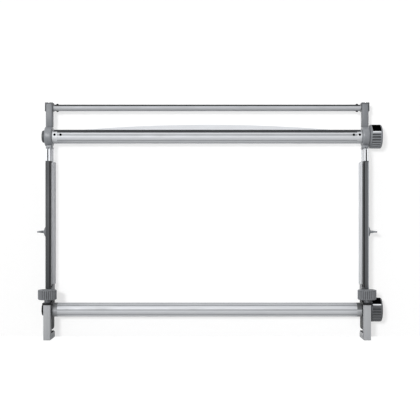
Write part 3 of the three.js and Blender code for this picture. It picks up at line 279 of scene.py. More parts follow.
# Shapes
def smooth_group():
    """Geometry nodes that smooth a CAD mesh over its shallow edges."""
    group = bpy.data.node_groups.new("smooth_facets", "GeometryNodeTree")
    group.is_modifier = True
    group.interface.new_socket("Geometry", in_out="INPUT", socket_type="NodeSocketGeometry")
    group.interface.new_socket("Geometry", in_out="OUTPUT", socket_type="NodeSocketGeometry")
    start = node(group, "NodeGroupInput")
    end = node(group, "NodeGroupOutput")
    angle = node(group, "GeometryNodeInputMeshEdgeAngle").outputs["Unsigned Angle"]
    compare = node(group, "FunctionNodeCompare")
    compare.data_type = "FLOAT"
    compare.operation = "LESS_THAN"
    plug(group, compare, A=angle, B=math.radians(31))
    faces = node(group, "GeometryNodeSetShadeSmooth", Geometry=start.outputs[0])
    edges = node(group, "GeometryNodeSetShadeSmooth")
    edges.domain = "EDGE"
    plug(group, edges, Geometry=faces.outputs[0], Shade_Smooth=compare.outputs["Result"])
    group.links.new(edges.outputs[0], end.inputs[0])
    return group


SMOOTH = smooth_group()


def dress(name, material, width):
    """Gives a CAD node its material, welds it and rounds its edges a little."""
    obj = NODES[name]
    obj.data.materials.clear()
    obj.data.materials.append(MAT[material])
    weld = obj.modifiers.new("weld", "WELD")
    weld.merge_threshold = 0.00001
    bevel = obj.modifiers.new("edges", "BEVEL")
    bevel.width = width * MM
    bevel.segments = 2
    bevel.limit_method = "ANGLE"
    bevel.angle_limit = math.radians(32)
    bevel.use_clamp_overlap = True
    smooth = obj.modifiers.new("smooth", "NODES")
    smooth.node_group = SMOOTH


def finish_mesh(name, mesh, material, body, slot, replaces=(), sharp=34):
    """Makes a piece from a mesh. Its edges are smooth up to the sharp angle."""
    bmesh.ops.remove_doubles(mesh, verts=mesh.verts, dist=0.00001)
    bmesh.ops.recalc_face_normals(mesh, faces=mesh.faces)
    for face in mesh.faces:
        face.smooth = True
    for edge in mesh.edges:
        edge.smooth = len(edge.link_faces) == 2 and edge.calc_face_angle(0) < math.radians(sharp)
    data = bpy.data.meshes.new(name)
    mesh.to_mesh(data)
    mesh.free()
    obj = bpy.data.objects.new(name, data)
    bpy.context.scene.collection.objects.link(obj)
    for each in material if isinstance(material, tuple) else (material,):
        data.materials.append(MAT[each])
    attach(obj, body)
    if replaces:
        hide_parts(*replaces)
    return obj


def world_point(x, y, z):
    return Vector(((x + SHIFT[0]) * MM, (y + SHIFT[1]) * MM, z * MM))


def at_side(sign):
    """Maps side coordinates (u outboard, v to the rear, z) to the frame."""
    return lambda u, v, z: world_point(sign * (SIDE + u), v, z)


def on_ring(place, x, r, a, z, y=0.0):
    """Point at a radius and an angle round an axis along X."""
    t = math.radians(a)
    return place(x, y - r * math.cos(t), z + r * math.sin(t))


def angle_of(point, axis):
    """Angle of a point round an axis along X."""
    return math.degrees(math.atan2(point.z - axis.z, axis.y - point.y))


def rings(mesh, loops, close_ends=True):
    """Skins a list of loops of points, each loop with as many points, or one for a pole."""
    rows = [[mesh.verts.new(p) for p in loop] for loop in loops]
    for low, high in zip(rows, rows[1:]):
        count = max(len(low), len(high))
        for i in range(count):
            j = (i + 1) % count
            if len(low) == 1:
                mesh.faces.new((low[0], high[i], high[j]))
            elif len(high) == 1:
                mesh.faces.new((low[i], low[j], high[0]))
            else:
                mesh.faces.new((low[i], low[j], high[j], high[i]))
    if close_ends:
        for row in (rows[0], rows[-1]):
            if len(row) > 2:
                mesh.faces.new(row)
    return rows


def skinned(loops, round_trip=False):
    """A mesh over the loops, with closed ends, or leading back to the first loop on a round trip."""
    mesh = bmesh.new()
    rings(mesh, loops + loops[:1] if round_trip else loops, not round_trip)
    return mesh


def tinted(mesh, picks):
    """Gives the second material to the faces that the test picks by their middle."""
    for face in mesh.faces:
        if picks(face.calc_center_median()):
            face.material_index = 1


def turned(at, stations, angles, radius=None):
    """Loops of a turned piece. Stations are (place on the axis, radius); angles is a list or a count."""
    if isinstance(angles, int):
        angles = [360 * i / angles for i in range(angles)]
    loops = []
    for s, r in stations:
        if r == 0:
            loops.append([at(s, 0.0, 0.0)])
        else:
            loops.append([at(s, radius(s, r, a) if radius else r, a) for a in angles])
    return loops


def turned_x(place, stations, z, angles, radius=None, y=0.0):
    return turned(lambda x, r, a: on_ring(place, x, r, a, z, y), stations, angles, radius)


def edge_round(x, r, size, steps):
    """Stations that round an outer edge, from the rim at x to the face at x + size."""
    quarter = [math.pi / 2 * i / steps for i in range(steps + 1)]
    return [(x + size * math.sin(t), r - size * (1 - math.cos(t))) for t in quarter]


def hexagon(limit):
    """Makes the loops with a radius under the limit six-sided, for the wall of a socket."""
    return lambda _, r, a: r / math.cos(math.radians((a % 60) - 30)) if r < limit else r


def scoop(a, count, width, power):
    """Share of its depth that a knob's flute has at an angle, from 0 beside it to 1 in its middle."""
    share = (a * count / 360) % 1.0 - 0.5
    return max(0.0, 1 - (abs(share) / width) ** power)


def round_rect(a0, a1, b0, b1, r, steps=3):
    points = []
    corners = ((a1 - r, b1 - r), (a0 + r, b1 - r), (a0 + r, b0 + r), (a1 - r, b0 + r))
    for quarter, (a, b) in enumerate(corners):
        for i in range(steps + 1):
            t = math.radians(90 * quarter + 90 * i / steps)
            points.append((a + r * math.cos(t), b + r * math.sin(t)))
    return points


# CAD nodes that keep their shape, each with its material and the width of its bevels
for side, _ in SIGNS:
    for piece, material, width in (
        ("foot_bracket", "foot", 0.5),
        ("jaw_pad", "rubber", 0.3),
        ("clamp_screw", "steel", 0.2),
        ("clamp_clip", "black_steel", 0.1),
        # the lower housing is painted black as the shade under the ring knob
        ("lower_housing", "black", 0.5),
        ("upper_jaw_pad", "rubber", 0.3),
        ("lower_bush", "bush", 0.3),
        ("outer_post", "post", 0.15),
        ("side_rail", "rail", 0.25),
        ("lock_pad", "brass", 0.3),
        ("inner_slide", "slide", 0.12),
        ("upper_bush", "bush", 0.3),
        ("arm", "grey", 0.3),
        ("arm_cap", "cap", 0.2),
        ("rail_rivet", "black_steel", 0.2),
    ):
        dress(f"{side}_{piece}", look(side, material), width)
for level in ("lower", "upper"):
    for piece, material in (("left_plug", "black"), ("right_plug", "black"), ("knob_screw", "black_steel")):
        dress(f"{level}_{piece}", material, 0.3)


# Rollers
# the flute and die-line faces take darker materials, painted shade in the hollows
FLUTE, GROOVE = 1, 2  # places of these materials on the tubes
# Wide flutes and narrow die lines: middle angle, width, depth and material
LINES = ((9.3, 16.0, 0.55, FLUTE), (-38.0, 6.0, 0.6, GROOVE), (-60.5, 4.0, 0.5, GROOVE),
         (-88.0, 7.0, 0.6, GROOVE), (-127.0, 15.0, 0.55, FLUTE), (-167.0, 9.0, 0.55, FLUTE),
         (152.0, 16.0, 0.55, FLUTE), (118.0, 6.0, 0.6, GROOVE))
FINE_LINES = (-8.5, -26.0, -73.0, -103.0, -114.0, -144.0, 174.0, 134.0)
FINE_WIDTH, FINE_DEPTH = 1.2, 0.18


def roller_section():
    """Cross-section of the roller tube as (angle, radius, material of the face that follows)."""
    # the channels of the grip inlay and of the cloth come first
    cuts = [(30.6, 93, 1.7, 0), (94.8, 101.2, 2.0, 0)]
    cuts += [(a - width / 2, a + width / 2, depth, index) for a, width, depth, index in LINES]
    cuts += [(a - FINE_WIDTH / 2, a + FINE_WIDTH / 2, FINE_DEPTH, 0) for a in FINE_LINES]
    points = []
    for a in [i * 2.5 for i in range(-72, 72)]:
        if not any(low - 0.4 < a < high + 0.4 for low, high, _, _ in cuts):
            points.append((a, TUBE_R, 0))
    for low, high, depth, index in cuts:
        steps = max(1, round((high - low) / 3))
        floor = [low + 0.25] + [low + (high - low) * i / steps for i in range(1, steps)] + [high - 0.25]
        points.append((low, TUBE_R, index))
        points += [(a, TUBE_R - depth, index) for a in floor]
        points.append((high, TUBE_R, 0))
    points.sort()
    return points


def tube_piece(name, section, turn, z, half, bore, chamfer, materials, body, replaces):
    """A tube along X with a profiled outside. The section says which material is where."""
    ends = ((-half, -chamfer), (-half + chamfer, 0), (half - chamfer, 0), (half, -chamfer))
    loops = [[on_ring(world_point, x, r + change, a + turn, z) for a, r, _ in section] for x, change in ends]
    loops += [[on_ring(world_point, x, bore, a + turn, z) for a, _, _ in section] for x in (half, -half)]
    mesh = skinned(loops, True)
    mesh.faces.ensure_lookup_table()
    for i, (_, _, index) in enumerate(section):
        # the long faces follow those of the first chamfer
        mesh.faces[len(section) + i].material_index = index
    finish_mesh(name, mesh, materials, body, "bright_aluminium", replaces, 20)


def ribbed_section(low, high, outer, inner, steps, dips, depth):
    """Section of a ribbed strip as (angle, radius). Of each four steps along its face, the dips are deeper."""
    span = high - low
    face = [(low + span * i / steps, outer - (depth if i % 4 in dips else 0.0)) for i in range(steps + 1)]
    return face + [(high - span * i / 12, inner) for i in range(13)]


def strip_piece(name, section, turn, z, half, drop, *finish):
    """A strip along X with eased ends."""
    ends = ((-half, -drop), (-half + 0.4, 0), (half - 0.4, 0), (half, -drop))
    loops = [[on_ring(world_point, x, r + change, a + turn, z) for a, r in section] for x, change in ends]
    finish_mesh(name, skinned(loops), *finish, 25)


def end_collar(level, side, sign, turn, z, body):
    """Thin collar on the end of a roller, open over the grip inlay and the cloth."""
    place = at_side(sign)
    profile = ((-8.4, 13.1), (-8.4, 15.9), (-8.9, 16.25), (-19.0, 16.25), (-19.5, 15.95), (-19.5, 15.2))
    first, sweep, steps = 103.0 + turn, 296.0, 90
    angles = [first + sweep * i / steps for i in range(steps + 1)]
    mesh = skinned([[on_ring(place, u, r, a, z) for u, r in profile] for a in angles])
    finish = f"{side}_end"
    if level == "lower":
        # the collars of the lower roller carry painted shade above, under the clamps that stand over them
        finish = (f"lower_{side}_end", f"lower_{side}_shade")
        axis = place(0, 0, z)
        tinted(mesh, lambda p: 5 < angle_of(p, axis) < 80)
    finish_mesh(f"{level}_{side}_end_collar", mesh, finish, body, "bright_aluminium", (), 25)


def end_ring(side, sign, body):
    """Closed ring between the collar and the drum of the upper roller."""
    profile = [(-7.6, 13.2), (-7.6, 15.7), (-7.9, 16.0), (-8.6, 16.0), (-8.6, 13.2)]
    mesh = skinned(turned_x(at_side(sign), profile, UPPER_Z, 96), True)
    finish_mesh(f"upper_{side}_end_ring", mesh, f"{side}_end", body, "bright_aluminium", (), 25)


def facing_out(angle, z):
    """Maps x, the height over a roller's axis and the place across to the frame, at an angle round it."""
    t = math.radians(angle)
    sine, cosine = math.sin(t), math.cos(t)
    return lambda x, out, across: world_point(x, across * sine - out * cosine, z + out * sine + across * cosine)


def stud(name, x, z, angle, stations, count, radius, *finish):
    """A small turned piece that looks out of a roller."""
    place = facing_out(angle, z)

    def at(s, r, a):
        t = math.radians(a)
        return place(x + r * math.cos(t), s, r * math.sin(t))

    finish_mesh(name, skinned(turned(at, stations, count, radius)), *finish)


# Socket set screw, a dark dimple with a hexagon in it, and the shallow round mark between two of them
SET_SCREW = ((10.2, 2.4), (16.1, 2.85), (16.5, 2.8), (16.62, 2.55), (16.6, 1.5), (16.4, 1.4), (16.4, 0))
PILOT_MARK = ((15.2, 1.1), (16.27, 1.1), (16.3, 0.9), (16.26, 0))
for level, z, turn in (("lower", LOWER_Z, LOWER_TURN), ("upper", UPPER_Z, 0.0)):
    body = f"{level}_roller_set"
    tube_piece(f"{level}_roller_tube", roller_section(), turn, z, TUBE_HALF, TUBE_BORE, 0.5,
               ("roller", "flute", "groove"), body, (f"{level}_roller",))
    strip_piece(f"{level}_inlay_strip", ribbed_section(31.4, 92.1, 15.95, 14.7, 60, (1, 2), 0.22), turn, z,
                INLAY_HALF, 0.3, "inlay", body, "rubber", (f"{level}_grip_inlay",))
    for side, sign in SIGNS:
        end_collar(level, side, sign, turn, z, body)
        if level == "upper":
            end_ring(side, sign, body)
        stud(f"{level}_{side}_pilot_mark", sign * (SIDE - 20.8), z, SCREW_ANGLE + turn, PILOT_MARK, 24, None,
             "flute", body, "bright_aluminium")
        # the outer screws look out of the collars, so they stand a little higher
        for which, inset, lift in (("outer", 14.0, 0.35), ("inner", 27.6, 0.05)):
            replaced = (f"{side}_{which}_set_screw",) if level == "upper" else ()
            stations = [(s + lift, r) for s, r in SET_SCREW]
            stud(f"{level}_{side}_{which}_screw", sign * (SIDE - inset), z, SCREW_ANGLE + turn, stations, 36,
                 hexagon(1.5), "hole", body, "black_steel", replaced)


# Cloth leader
def leader():
    """A bowed strip of cotton with a turned hem, standing in the slot of the upper roller."""
    cols, rows = 150, 10
    half, foot, rim, bow = 290.4, 14.5, 15.9, 12.2
    half_thick, hem_half_thick, hem_width = 0.36, 0.48, 2.2
    place = facing_out(LEADER_ANGLE, UPPER_Z)
    loops = []
    for i in range(cols + 1):
        s = -1 + 2 * i / cols
        x = s * half
        top = rim + bow * (1 - s * s)
        front, back = [], []
        for j in range(rows + 1):
            share = j / rows
            r = foot + (top - foot) * share
            ripple = (0.16 * math.sin(x * 0.11) + 0.1 * math.sin(x * 0.043 + 1.3)) * share
            thick = hem_half_thick if top - r < hem_width and share > 0.5 else half_thick
            front.append(place(x, r, ripple - thick))
            back.append(place(x, r, ripple + thick))
        loops.append(front + back[::-1])
    return finish_mesh("leader_cloth", skinned(loops), "cloth", "upper_roller_set", "white_cloth",
                       ("cloth_leader",), 60)


leader_cloth = leader()


# Yarn rail, with a ribbed dark strip in a flat channel, as a painted dark reflection along its top
RAIL_HALF = SIDE - 9.4
rail_section = [(a, 7.05 if 27 < a < 82 else 7.5, 0) for a in range(-180, 180, 3)]
tube_piece("yarn_rail_tube", rail_section, 0.0, RAIL_Z, RAIL_HALF, 6.0, 0.4, "yarn", "upper_frame",
           ("yarn_rail",))
strip_piece("yarn_rail_reflection_strip", ribbed_section(28.0, 81.0, 7.44, 7.1, 20, (1, 3), 0.12), 0.0, RAIL_Z,
            RAIL_HALF - 2, 0.1, "strip", "upper_frame", "black_plastic", ())


# Knobs and discs
def winding_knob(level, z, face):
    """Fluted knob with a pocket for its window and a hollow for its screw. Its inboard side is at face."""
    place = at_side(1)
    low, high = POCKET_LOW[level], POCKET_HIGH
    start, stop = FLUTE_U
    pocket_in, pocket_out = POCKET_U

    def radius(u, r, a):
        a = (a + 180) % 360 - 180
        if low <= a <= high and pocket_in <= u <= pocket_out:
            return r - 2.2
        if low - 4 < a < high + 4 or not start - 0.01 <= u <= stop + 0.01:
            return r
        ease = min(1.0, (u - start) / 1.6, (stop - u) / 1.6)
        return r - 2.6 * scoop(a, 25, 0.4, 1.5) * max(0.0, ease) ** 0.5

    # steps round the knob, with a close pair at each end of the pocket
    angles = [i * 1.2 for i in range(300)]
    angles = [a for a in angles if abs(a - low) >= 0.9 and abs(a - high) >= 0.9]
    angles = sorted(angles + [low - 0.25, low, high, high + 0.25])
    # steps along the knob, closer at the ends of the flutes and of the pocket
    span = [start + 0.5, start + 0.99, pocket_in - 0.02, pocket_in, start + 2.4]
    span += [start + 3.4 + 2.0 * i for i in range(8)]
    span += [stop - 1.6, pocket_out, pocket_out + 0.02, stop - 0.5, stop - 0.2, stop]
    flank = [(9.9, 23.0), (10.1, 24.0)] if level == "upper" else [(8.3, 21.6), (8.7, 22.2), (9.6, 23.9)]
    stations = [(face, SHAFT_BORE)] + flank + [(10.8, 26.0), (11.7, 27.1), (12.4, KNOB_R), (start, KNOB_R)]
    stations += [(u, KNOB_R) for u in sorted(span)]
    stations += edge_round(KNOB_OUT - 2.6, KNOB_R, 2.6, 6)[1:]
    stations += [(KNOB_OUT, 10.2), (37.2, 9.3), (36.6, 9.0), (34.5, 9.0), (34.5, 2.8), (30.3, 2.8),
                 (30.3, SHAFT_BORE)]
    mesh = skinned(turned_x(place, stations, z, angles, radius), True)
    axis = place(0, 0, z)
    first, last = place(start + 0.5, 0, z).x, place(stop - 0.6, 0, z).x

    def in_flute(p):
        out = math.hypot(p.y - axis.y, p.z - axis.z) / MM
        return first < p.x < last and 20 < out < 26.4 and not low - 3 < angle_of(p, axis) < high + 3

    # faces in the flutes take the darker material, painted shade
    tinted(mesh, in_flute)
    # the lower knob takes the darker copies, painted shade
    finish = ("shaded", "shaded_flutes") if level == "lower" else ("dark", "flutes")
    finish_mesh(f"{level}_winding_knob", mesh, finish, f"{level}_roller_set", "dark_plastic",
                (f"{level}_knob",), 30)


def panel(name, z, sweep, span, base, top, corner, *finish):
    """A plate bent round the knob, from base to top. It has rounded corners and an eased edge."""
    place = at_side(1)
    (a0, a1), (x0, x1) = sweep, span
    arc = math.radians(a1 - a0) * top
    middle, half = (x0 + x1) / 2, (x1 - x0) / 2
    rim = 0.4
    loops = []
    for r, inset in ((base, 0.0), (top - 0.35, 0.0), (top - 0.1, 0.12), (top, rim)):
        loop = []
        for s, x in round_rect(0, arc, x0, x1, corner, 5):
            s = arc / 2 + (s - arc / 2) * (1 - inset / (arc / 2))
            x = middle + (x - middle) * (1 - inset / half)
            loop.append(on_ring(place, x, r, a0 + math.degrees(s / top), z))
        loops.append(loop)
    mesh = bmesh.new()
    rows = rings(mesh, loops, False)
    mesh.faces.new(rows[0])
    # top, in strips along the arc that narrow at its corners
    steps = 24
    lines = []
    for k in range(steps + 1):
        share = k / steps
        a = a0 + (a1 - a0) * (rim / arc + (1 - 2 * rim / arc) * share)
        from_end = min(1.0, min(share, 1 - share) * (arc - 2 * rim) / corner)
        reach = corner * (1 - math.sqrt(max(0.0, 1 - (1 - from_end) ** 2)))
        across = (x0 + rim + reach, x0 + rim + corner, x1 - rim - corner, x1 - rim - reach)
        lines.append([mesh.verts.new(on_ring(place, x, top, a, z)) for x in across])
    for near, far in zip(lines, lines[1:]):
        for i in range(3):
            mesh.faces.new((near[i], near[i + 1], far[i + 1], far[i]))
    finish_mesh(name, mesh, *finish, 30)


def knob(level, z):
    """Winding knob, its window, the pale line under it and its screw, and the disc at the other end."""
    body = f"{level}_roller_set"
    # the upper drum is wider, so its knob and disc start further out
    face = 9.9 if level == "upper" else KNOB_IN
    low = POCKET_LOW[level]
    pocket_in, pocket_out = POCKET_U
    winding_knob(level, z, face)
    panel(f"{level}_window_panel", z, (low + 11.6, POCKET_HIGH - 0.4), (pocket_in + 0.3, pocket_out - 0.3),
          25.5, 27.45, 0.8, "gloss", body, "gloss_black", (f"{level}_knob_window",))
    # the pale line under the window is a painted highlight
    panel(f"{level}_window_highlight_line", z, (low + 4.2, low + 10.9), (pocket_in + 1.0, pocket_out - 0.5),
          25.5, 27.2, 0.7, "trim", body, "bush_plastic", ())
    # ring of a hex socket in the middle of the face
    head = [(34.6, 5.35), (36.6, 5.35), (36.95, 5.0), (36.98, 2.6), (35.4, 2.6), (35.4, 0)]
    mesh = skinned(turned_x(at_side(1), head, z, 48, hexagon(3)))
    finish_mesh(f"{level}_knob_screw_head", mesh, "black_steel", body, "black_steel")
    # left end disc, with a groove and a rounded edge
    stations = [(face, SHAFT_BORE), (face, 13.7), (face + 0.4, 14.1), (11.6, DISC_R), (11.9, 13.75),
                (12.3, 13.75), (12.6, DISC_R)]
    stations += edge_round(13.9, DISC_R, 3.0, 7) + [(16.9, 8.0), (16.5, 7.4), (16.45, 0)]
    # the lower disc is painted black, as the shade it stands in; the upper one keeps the disc's dark grey
    finish_mesh(f"{level}_left_disc", skinned(turned_x(at_side(-1), stations, z, 96)),
                "black" if level == "lower" else "disc", body, "dark_plastic", (f"{level}_end_disc",), 28)


knob("lower", LOWER_Z)
knob("upper", UPPER_Z)


# Clamp knobs
def clamp_knob(side, sign):
    """Ring knob on the clamp screw, with a fluted rim and a stepped face."""
    place = at_side(sign)
    low, high = RING_Z
    flute_low, flute_high = low + 1.5, high - 1.5

    def radius(z, r, a):
        if r < 20 or not flute_low < z < flute_high:
            return r
        ease = min(1.0, (z - flute_low) / 1.2, (flute_high - z) / 1.2)
        return r - 1.5 * scoop(a, RING_FLUTES, 0.36, 1.6) * ease

    def at(z, r, a):
        t = math.radians(a)
        return place(r * math.sin(t), CLAMP_V - r * math.cos(t), z)

    # hollow for the screw, foot, rim and face
    stations = [(107.0, 0), (107.0, 4.3), (low, 4.3), (low, 18.6), (low + 0.25, 19.6), (low + 0.9, 20.7)]
    stations += [(low + step, RING_R) for step in (1.5, 1.6, 2.1, 2.7)]
    stations += [(low + 2.7 + (high - low - 5.4) * i / 6, RING_R) for i in range(1, 7)]
    stations += [(high - step, RING_R) for step in (2.1, 1.6, 1.5)]
    stations += [(high - 0.9, 20.95), (high - 0.3, 20.2), (high, 19.2), (high, 14.6), (high - 0.2, 14.1),
                 (high - 1.7, 13.6), (high - 1.9, 13.0), (high - 1.9, 5.4), (high - 1.6, 5.0), (high - 1.0, 4.8),
                 (high - 1.0, 2.6), (high - 2.6, 2.6), (high - 2.6, 0)]
    mesh = skinned(turned(at, stations, RING_FLUTES * 8, radius))
    axis = place(0, CLAMP_V, 0)

    def in_flute(p):
        out = math.hypot(p.x - axis.x, p.y - axis.y) / MM
        return 18 < out < 20.75 and low + 1.7 < p.z / MM < high - 1.7

    # faces in the flutes take the darker material, painted shade
    tinted(mesh, in_flute)
    finish_mesh(f"{side}_ring_knob", mesh, ("ring", "ring_flutes"), f"{side}_clamp", "grey_plastic",
                (f"{side}_clamp_knob",), 32)


# Height locks
def wing_outline():
    """Outline of a wing: it widens along its spine, which is (u, v, width), and has a round tip."""
    spine = ((13.0, 0.6, 2.2), (15.4, 3.0, 3.0), (18.2, 6.2, 4.2), (21.0, 8.6, 4.4))
    steps, slant, tip_r = 18, 0.62, 4.4 * 0.877
    top, low = [], []
    for i in range(steps + 1):
        s = 3 * i / steps
        k = min(2, int(s))
        u, v, w = (a + (b - a) * (s - k) for a, b in zip(spine[k], spine[k + 1]))
        top.append((u - w * slant, v + w * slant))
        low.append((u + w * slant, v - w * slant))
    u, v, _ = spine[-1]
    turns = [math.radians(135 - 180 * i / 12) for i in range(1, 12)]
    return top + [(u + tip_r * math.cos(t), v + tip_r * math.sin(t)) for t in turns] + low[::-1]


def wing_screw(side, sign):
    place = at_side(sign)
    hub = [(7.3, 0), (7.3, 2.3), (7.6, 2.45), (10.72, 2.45), (10.78, 3.0), (11.1, 3.2), (14.2, 3.0),
           (17.2, 2.6), (19.6, 2.2), (20.0, 1.8), (20.1, 0)]
    mesh = skinned(turned_x(place, hub, LOCK_Z, 48, None, LOCK_V))
    outline = wing_outline()
    centre = Vector((17.0, 5.2))
    for flip in (-1, 1):
        loops = []
        for rise, inset in ((-1.9, 0.7), (-1.75, 0.35), (-1.2, 0.0), (1.2, 0.0), (1.75, 0.35), (1.9, 0.7)):
            loop = []
            for point in outline:
                arm = Vector(point) - centre
                u, v = centre + arm * (1 - inset / max(arm.length, 1.0))
                loop.append(place(u, LOCK_V + flip * v, LOCK_Z + rise))
            loops.append(loop)
        rings(mesh, loops)
    finish_mesh(f"{side}_wing", mesh, "wing", f"{side}_wing", "grey_paint", (f"{side}_wing_screw",), 40)


def lock_boss(side, sign):
    """Stepped dome on the post, bored for the wing screw."""
    stations = [(5.05, 4.3), (5.05, 5.5), (5.62, 5.5), (5.62, 10.5), (5.8, 10.75), (7.7, 10.75), (8.1, 10.3),
                (8.6, 9.3), (9.15, 8.0), (9.6, 6.9), (10.0, 5.8), (10.3, 5.0), (10.4, 4.6), (10.4, 2.8),
                (9.35, 2.8), (9.35, 4.3)]
    mesh = skinned(turned_x(at_side(sign), stations, LOCK_Z, 72, None, LOCK_V), True)
    finish_mesh(f"{side}_boss_dome", mesh, "ring", "lower_frame", "grey_plastic", (f"{side}_lock_boss",), 28)


for side, sign in SIGNS:
    clamp_knob(side, sign)
    wing_screw(side, sign)
    lock_boss(side, sign)


# Small fasteners, trim, and painted shade and highlight lines
def socket_screw(name, place, centre, head, socket, depth, *finish):
    """A round-edged socket head that faces the front. The centre of its front is (u, v, z)."""
    u, v, z = centre

    def at(s, r, a):
        t = math.radians(a)
        return place(u + r * math.cos(t), v + s, z + r * math.sin(t))

    floor = depth * 0.7
    stations = [(depth, head), (0.5, head), (0.15, head - 0.15), (0.0, head - 0.5), (0.0, socket * 1.16),
                (floor, socket), (floor, 0)]
    finish_mesh(name, skinned(turned(at, stations, 36, hexagon(socket * 1.05))), *finish)


def box_piece(name, place, u, v, z, corner, *finish):
    """A straight bar upright in the frame, with rounded corners and eased ends."""
    ease = corner / 2
    outline = round_rect(*u, *v, corner)
    small = round_rect(u[0] + ease, u[1] - ease, v[0] + ease, v[1] - ease, ease)
    loops = [[place(a, b, at) for a, b in loop] for loop, at in
             ((small, z[0]), (outline, z[0] + ease), (outline, z[1] - ease), (small, z[1]))]
    finish_mesh(name, skinned(loops), *finish, (), 40)


# Straight trim and painted shade and highlight lines: name, extents in u, v and z, rounding, material, body and
# slot
TRIM = (
    # socket of the post
    ("socket_cheek", (-7.6, -7.0), (-7.6, 22.0), (103.0, 123.0), 0.25, "pad", "lower_frame", "black_plastic"),
    ("socket_pad", (-7.9, -5.1), (-9.4, -8.0), (112.4, 118.8), 0.6, "pad", "lower_frame", "black_plastic"),
    # black strip behind the slot of the slide, as painted shade inside the slot
    ("slot_shade_strip", (-2.4, 2.4), (-21.9, -21.2), (150.0, 434.0), 0.2, "black", "upper_frame", "black_plastic"),
    # black strip on the post's inboard face, ahead of the side rail, as painted shade on that face, and the lip
    # of that rail
    ("post_shade_strip", (-5.85, -5.62), (-23.2, -3.6), (118.0, 406.6), 0.08, "black", "lower_frame", "black_plastic"),
    ("rail_lip", (-6.1, -5.6), (-13.0, -3.7), (121.0, 404.0), 0.15, "lip", "lower_frame", "black_plastic"),
    # painted shade along the inner corner and painted highlight along the outer corner of the post's front
    ("post_corner_shade", (-5.4, -3.4), FRONT_LINE, POST_LINE_Z, 0.08, "black", "lower_frame", "black_plastic"),
    ("post_edge_highlight", (3.5, 5.3), FRONT_LINE, POST_LINE_Z, 0.08, "edge", "lower_frame", "dark_anodised"),
    # neck and collar of the upper housing
    ("drum_neck", (-6.4, 6.4), (-11.4, 11.4), (439.0, 457.0), 1.6, "drum", "upper_frame", "grey_plastic"),
    ("drum_collar", (-7.6, 7.2), (-13.0, 13.0), (436.5, 440.6), 2.4, "drum", "upper_frame", "grey_plastic"),
)


def rail_screws(side, place):
    """Countersunk screws of the side rail, on its inboard face."""
    stations = [(-7.75, 2.2), (-8.0, 2.2), (-8.05, 2.0), (-8.05, 1.0), (-7.9, 1.0), (-7.9, 0)]
    for i, z in enumerate((140.0, 265.0, 390.0)):
        mesh = skinned(turned_x(place, stations, z, 32, None, 12.0))
        finish_mesh(f"{side}_rail_screw_{i + 1}", mesh, "bright_screw", "lower_frame", "steel")


def post_liner(side, place):
    """Liner at the mouth of the outer post."""
    outer = round_rect(-5.5, 5.5, -23.9, 23.9, 0.9)
    inner = round_rect(-4.95, 4.95, -23.35, 23.35, 0.5)
    low, high = 407.02, 408.2
    loops = [[place(u, v, z) for u, v in ring] for ring, z in
             ((inner, low), (outer, low), (outer, high), (inner, high))]
    finish_mesh(f"{side}_post_liner", skinned(loops, True), "black", "lower_frame", "black_plastic")


def upper_drum(side, place):
    """Crowned bearing drum of the upper housing."""
    stations = [(-7.2, 8.3), (-7.2, 21.4), (-7.0, 22.5), (-6.4, 23.2), (-5.4, 23.6), (-3.0, 23.9), (0.5, 24.0),
                (4.5, 23.9), (6.9, 23.6), (8.1, 23.2), (8.9, 22.6), (9.4, 21.7), (9.6, 20.4), (9.6, 8.3)]
    mesh = skinned(turned_x(place, stations, UPPER_Z, 128), True)
    finish_mesh(f"{side}_upper_drum", mesh, "drum", "upper_frame", "grey_plastic", (f"{side}_upper_housing",), 50)


for side, sign in SIGNS:
    place = at_side(sign)
    for piece, u, v, z, corner, material, body, slot in TRIM:
        box_piece(f"{side}_{piece}", place, u, v, z, corner, look(side, material), body, slot)
    rail_screws(side, place)
    post_liner(side, place)
    upper_drum(side, place)
    # the screw that holds the post in its socket, and the one through the collar into the slide
    socket_screw(f"{side}_socket_screw", place, (-6.4, -10.0, 115.6), 1.2, 0.6, 1.2, look(side, "screw"),
                 "lower_frame", "steel")
    socket_screw(f"{side}_collar_screw", place, (0.0, -13.5, 438.6), 1.3, 0.7, 0.9, "black_steel",
                 "upper_frame", "black_steel")


# Stage, light and camera, in metres
WHITE = (1, 1, 1, 1)
REACH = 3
FLOOR_Z, WALL_Y = -0.0005, 0.041
LIFT_SLOPE, LIFT_REACH = 0.05, 0.6
KEY_POWER = 264


def plain_rays(tree):
    """1 for camera, glossy and transmission rays, and 0 for others."""
    path = node(tree, "ShaderNodeLightPath", -700).outputs
    first = fed(tree, "ShaderNodeMath", -500, path["Is Camera Ray"], path["Is Glossy Ray"], operation="MAXIMUM")
    return fed(tree, "ShaderNodeMath", -300, first, path["Is Transmission Ray"], operation="MAXIMUM")


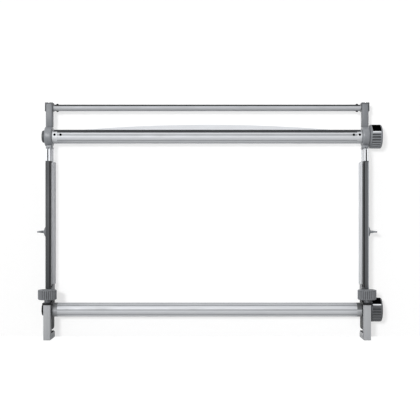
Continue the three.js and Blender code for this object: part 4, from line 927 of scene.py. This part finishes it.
def one_sided(name, albedo, lift):
    """Matt and pale; the camera and reflections see it as white. Clear from behind."""
    material = bpy.data.materials.new(name)
    tree = emptied_tree(material)
    # the lift rises to the right, where the key light is weaker
    place = node(tree, "ShaderNodeTexCoord", -900, 300).outputs["Object"]
    across = node(tree, "ShaderNodeSeparateXYZ", -700, 300, Vector=place).outputs["X"]
    slope = LIFT_SLOPE * albedo
    level = node(tree, "ShaderNodeMapRange", -500, 300, Value=across, From_Min=-LIFT_REACH, From_Max=LIFT_REACH,
                 To_Min=lift - slope, To_Max=lift + slope).outputs["Result"]
    share = fed(tree, "ShaderNodeMath", -100, plain_rays(tree), level, operation="MULTIPLY")
    diffuse = node(tree, "ShaderNodeBsdfDiffuse", 0, Color=(albedo, albedo, albedo, 1)).outputs[0]
    glow = node(tree, "ShaderNodeEmission", 0, -150, Color=WHITE, Strength=share).outputs[0]
    clear = node(tree, "ShaderNodeBsdfTransparent", 200, -300).outputs[0]
    both = fed(tree, "ShaderNodeAddShader", 300, diffuse, glow)
    behind = node(tree, "ShaderNodeNewGeometry", 0, 300).outputs["Backfacing"]
    sides = fed(tree, "ShaderNodeMixShader", 550, behind, both, clear)
    node(tree, "ShaderNodeOutputMaterial", 800, Surface=sides)
    return material


def plane(name, corners, material):
    data = bpy.data.meshes.new(name)
    data.from_pydata(corners, [], [(0, 1, 2, 3)])
    obj = bpy.data.objects.new(name, data)
    data.materials.append(material)
    bpy.context.scene.collection.objects.link(obj)


# The backdrop stands on the floor
floor_white = one_sided("floor_white", 0.22, 0.9)
wall_white = one_sided("backdrop_white", 0.6, 0.452)
corners = ((-REACH, -REACH), (REACH, -REACH), (REACH, REACH), (-REACH, REACH))
plane("floor", [(x, y, FLOOR_Z) for x, y in corners], floor_white)
plane("backdrop", [(x, WALL_Y, max(z, FLOOR_Z)) for x, z in corners], wall_white)

# The world shines softly on the part, and is white to the camera and in reflections
world = bpy.data.worlds.new("studio")
bpy.context.scene.world = world
tree = emptied_tree(world)
soft = node(tree, "ShaderNodeBackground", 0, 0, Color=WHITE, Strength=0.22).outputs[0]
plain = node(tree, "ShaderNodeBackground", 0, -200, Color=WHITE, Strength=1.0).outputs[0]
mix = fed(tree, "ShaderNodeMixShader", 300, plain_rays(tree), soft, plain)
node(tree, "ShaderNodeOutputWorld", 600, Surface=mix)


def lamp(name, kind, strength, casts=True):
    data = bpy.data.lights.new(name, kind)
    data.use_shadow = casts
    data.energy = strength
    obj = bpy.data.objects.new(name, data)
    bpy.context.scene.collection.objects.link(obj)
    return obj


def sun(name, direction, strength, angle, casts=True):
    obj = lamp(name, "SUN", strength, casts)
    obj.data.angle = math.radians(angle)
    obj.rotation_euler = Vector(direction).to_track_quat("-Z", "Y").to_euler()


# the key is a few metres off, so that the shadows of both sides lie about as far to the right in the picture
key = lamp("key", "POINT", KEY_POWER)
key.data.shadow_soft_size = 0.33
key.location = (-1.03, -3.86, 1.08)
sun("high", (0.5, 1.0, -0.4), 1.3, 16, False)
sun("top", (0.0, 0.3, -1.0), 0.25, 30)
sun("back", (0.15, -1.0, -0.05), 0.7, 20, False)

camera = bpy.data.cameras.new("camera")
camera.sensor_width = 36
camera.lens = 75.4
camera_object = bpy.data.objects.new("camera", camera)
camera_object.location = (0.0007, -2.0211, 0.296)
camera_object.rotation_euler = (math.radians(90), 0, 0)
bpy.context.scene.collection.objects.link(camera_object)
bpy.context.scene.camera = camera_object
bpy.context.scene.view_settings.view_transform = "Standard"
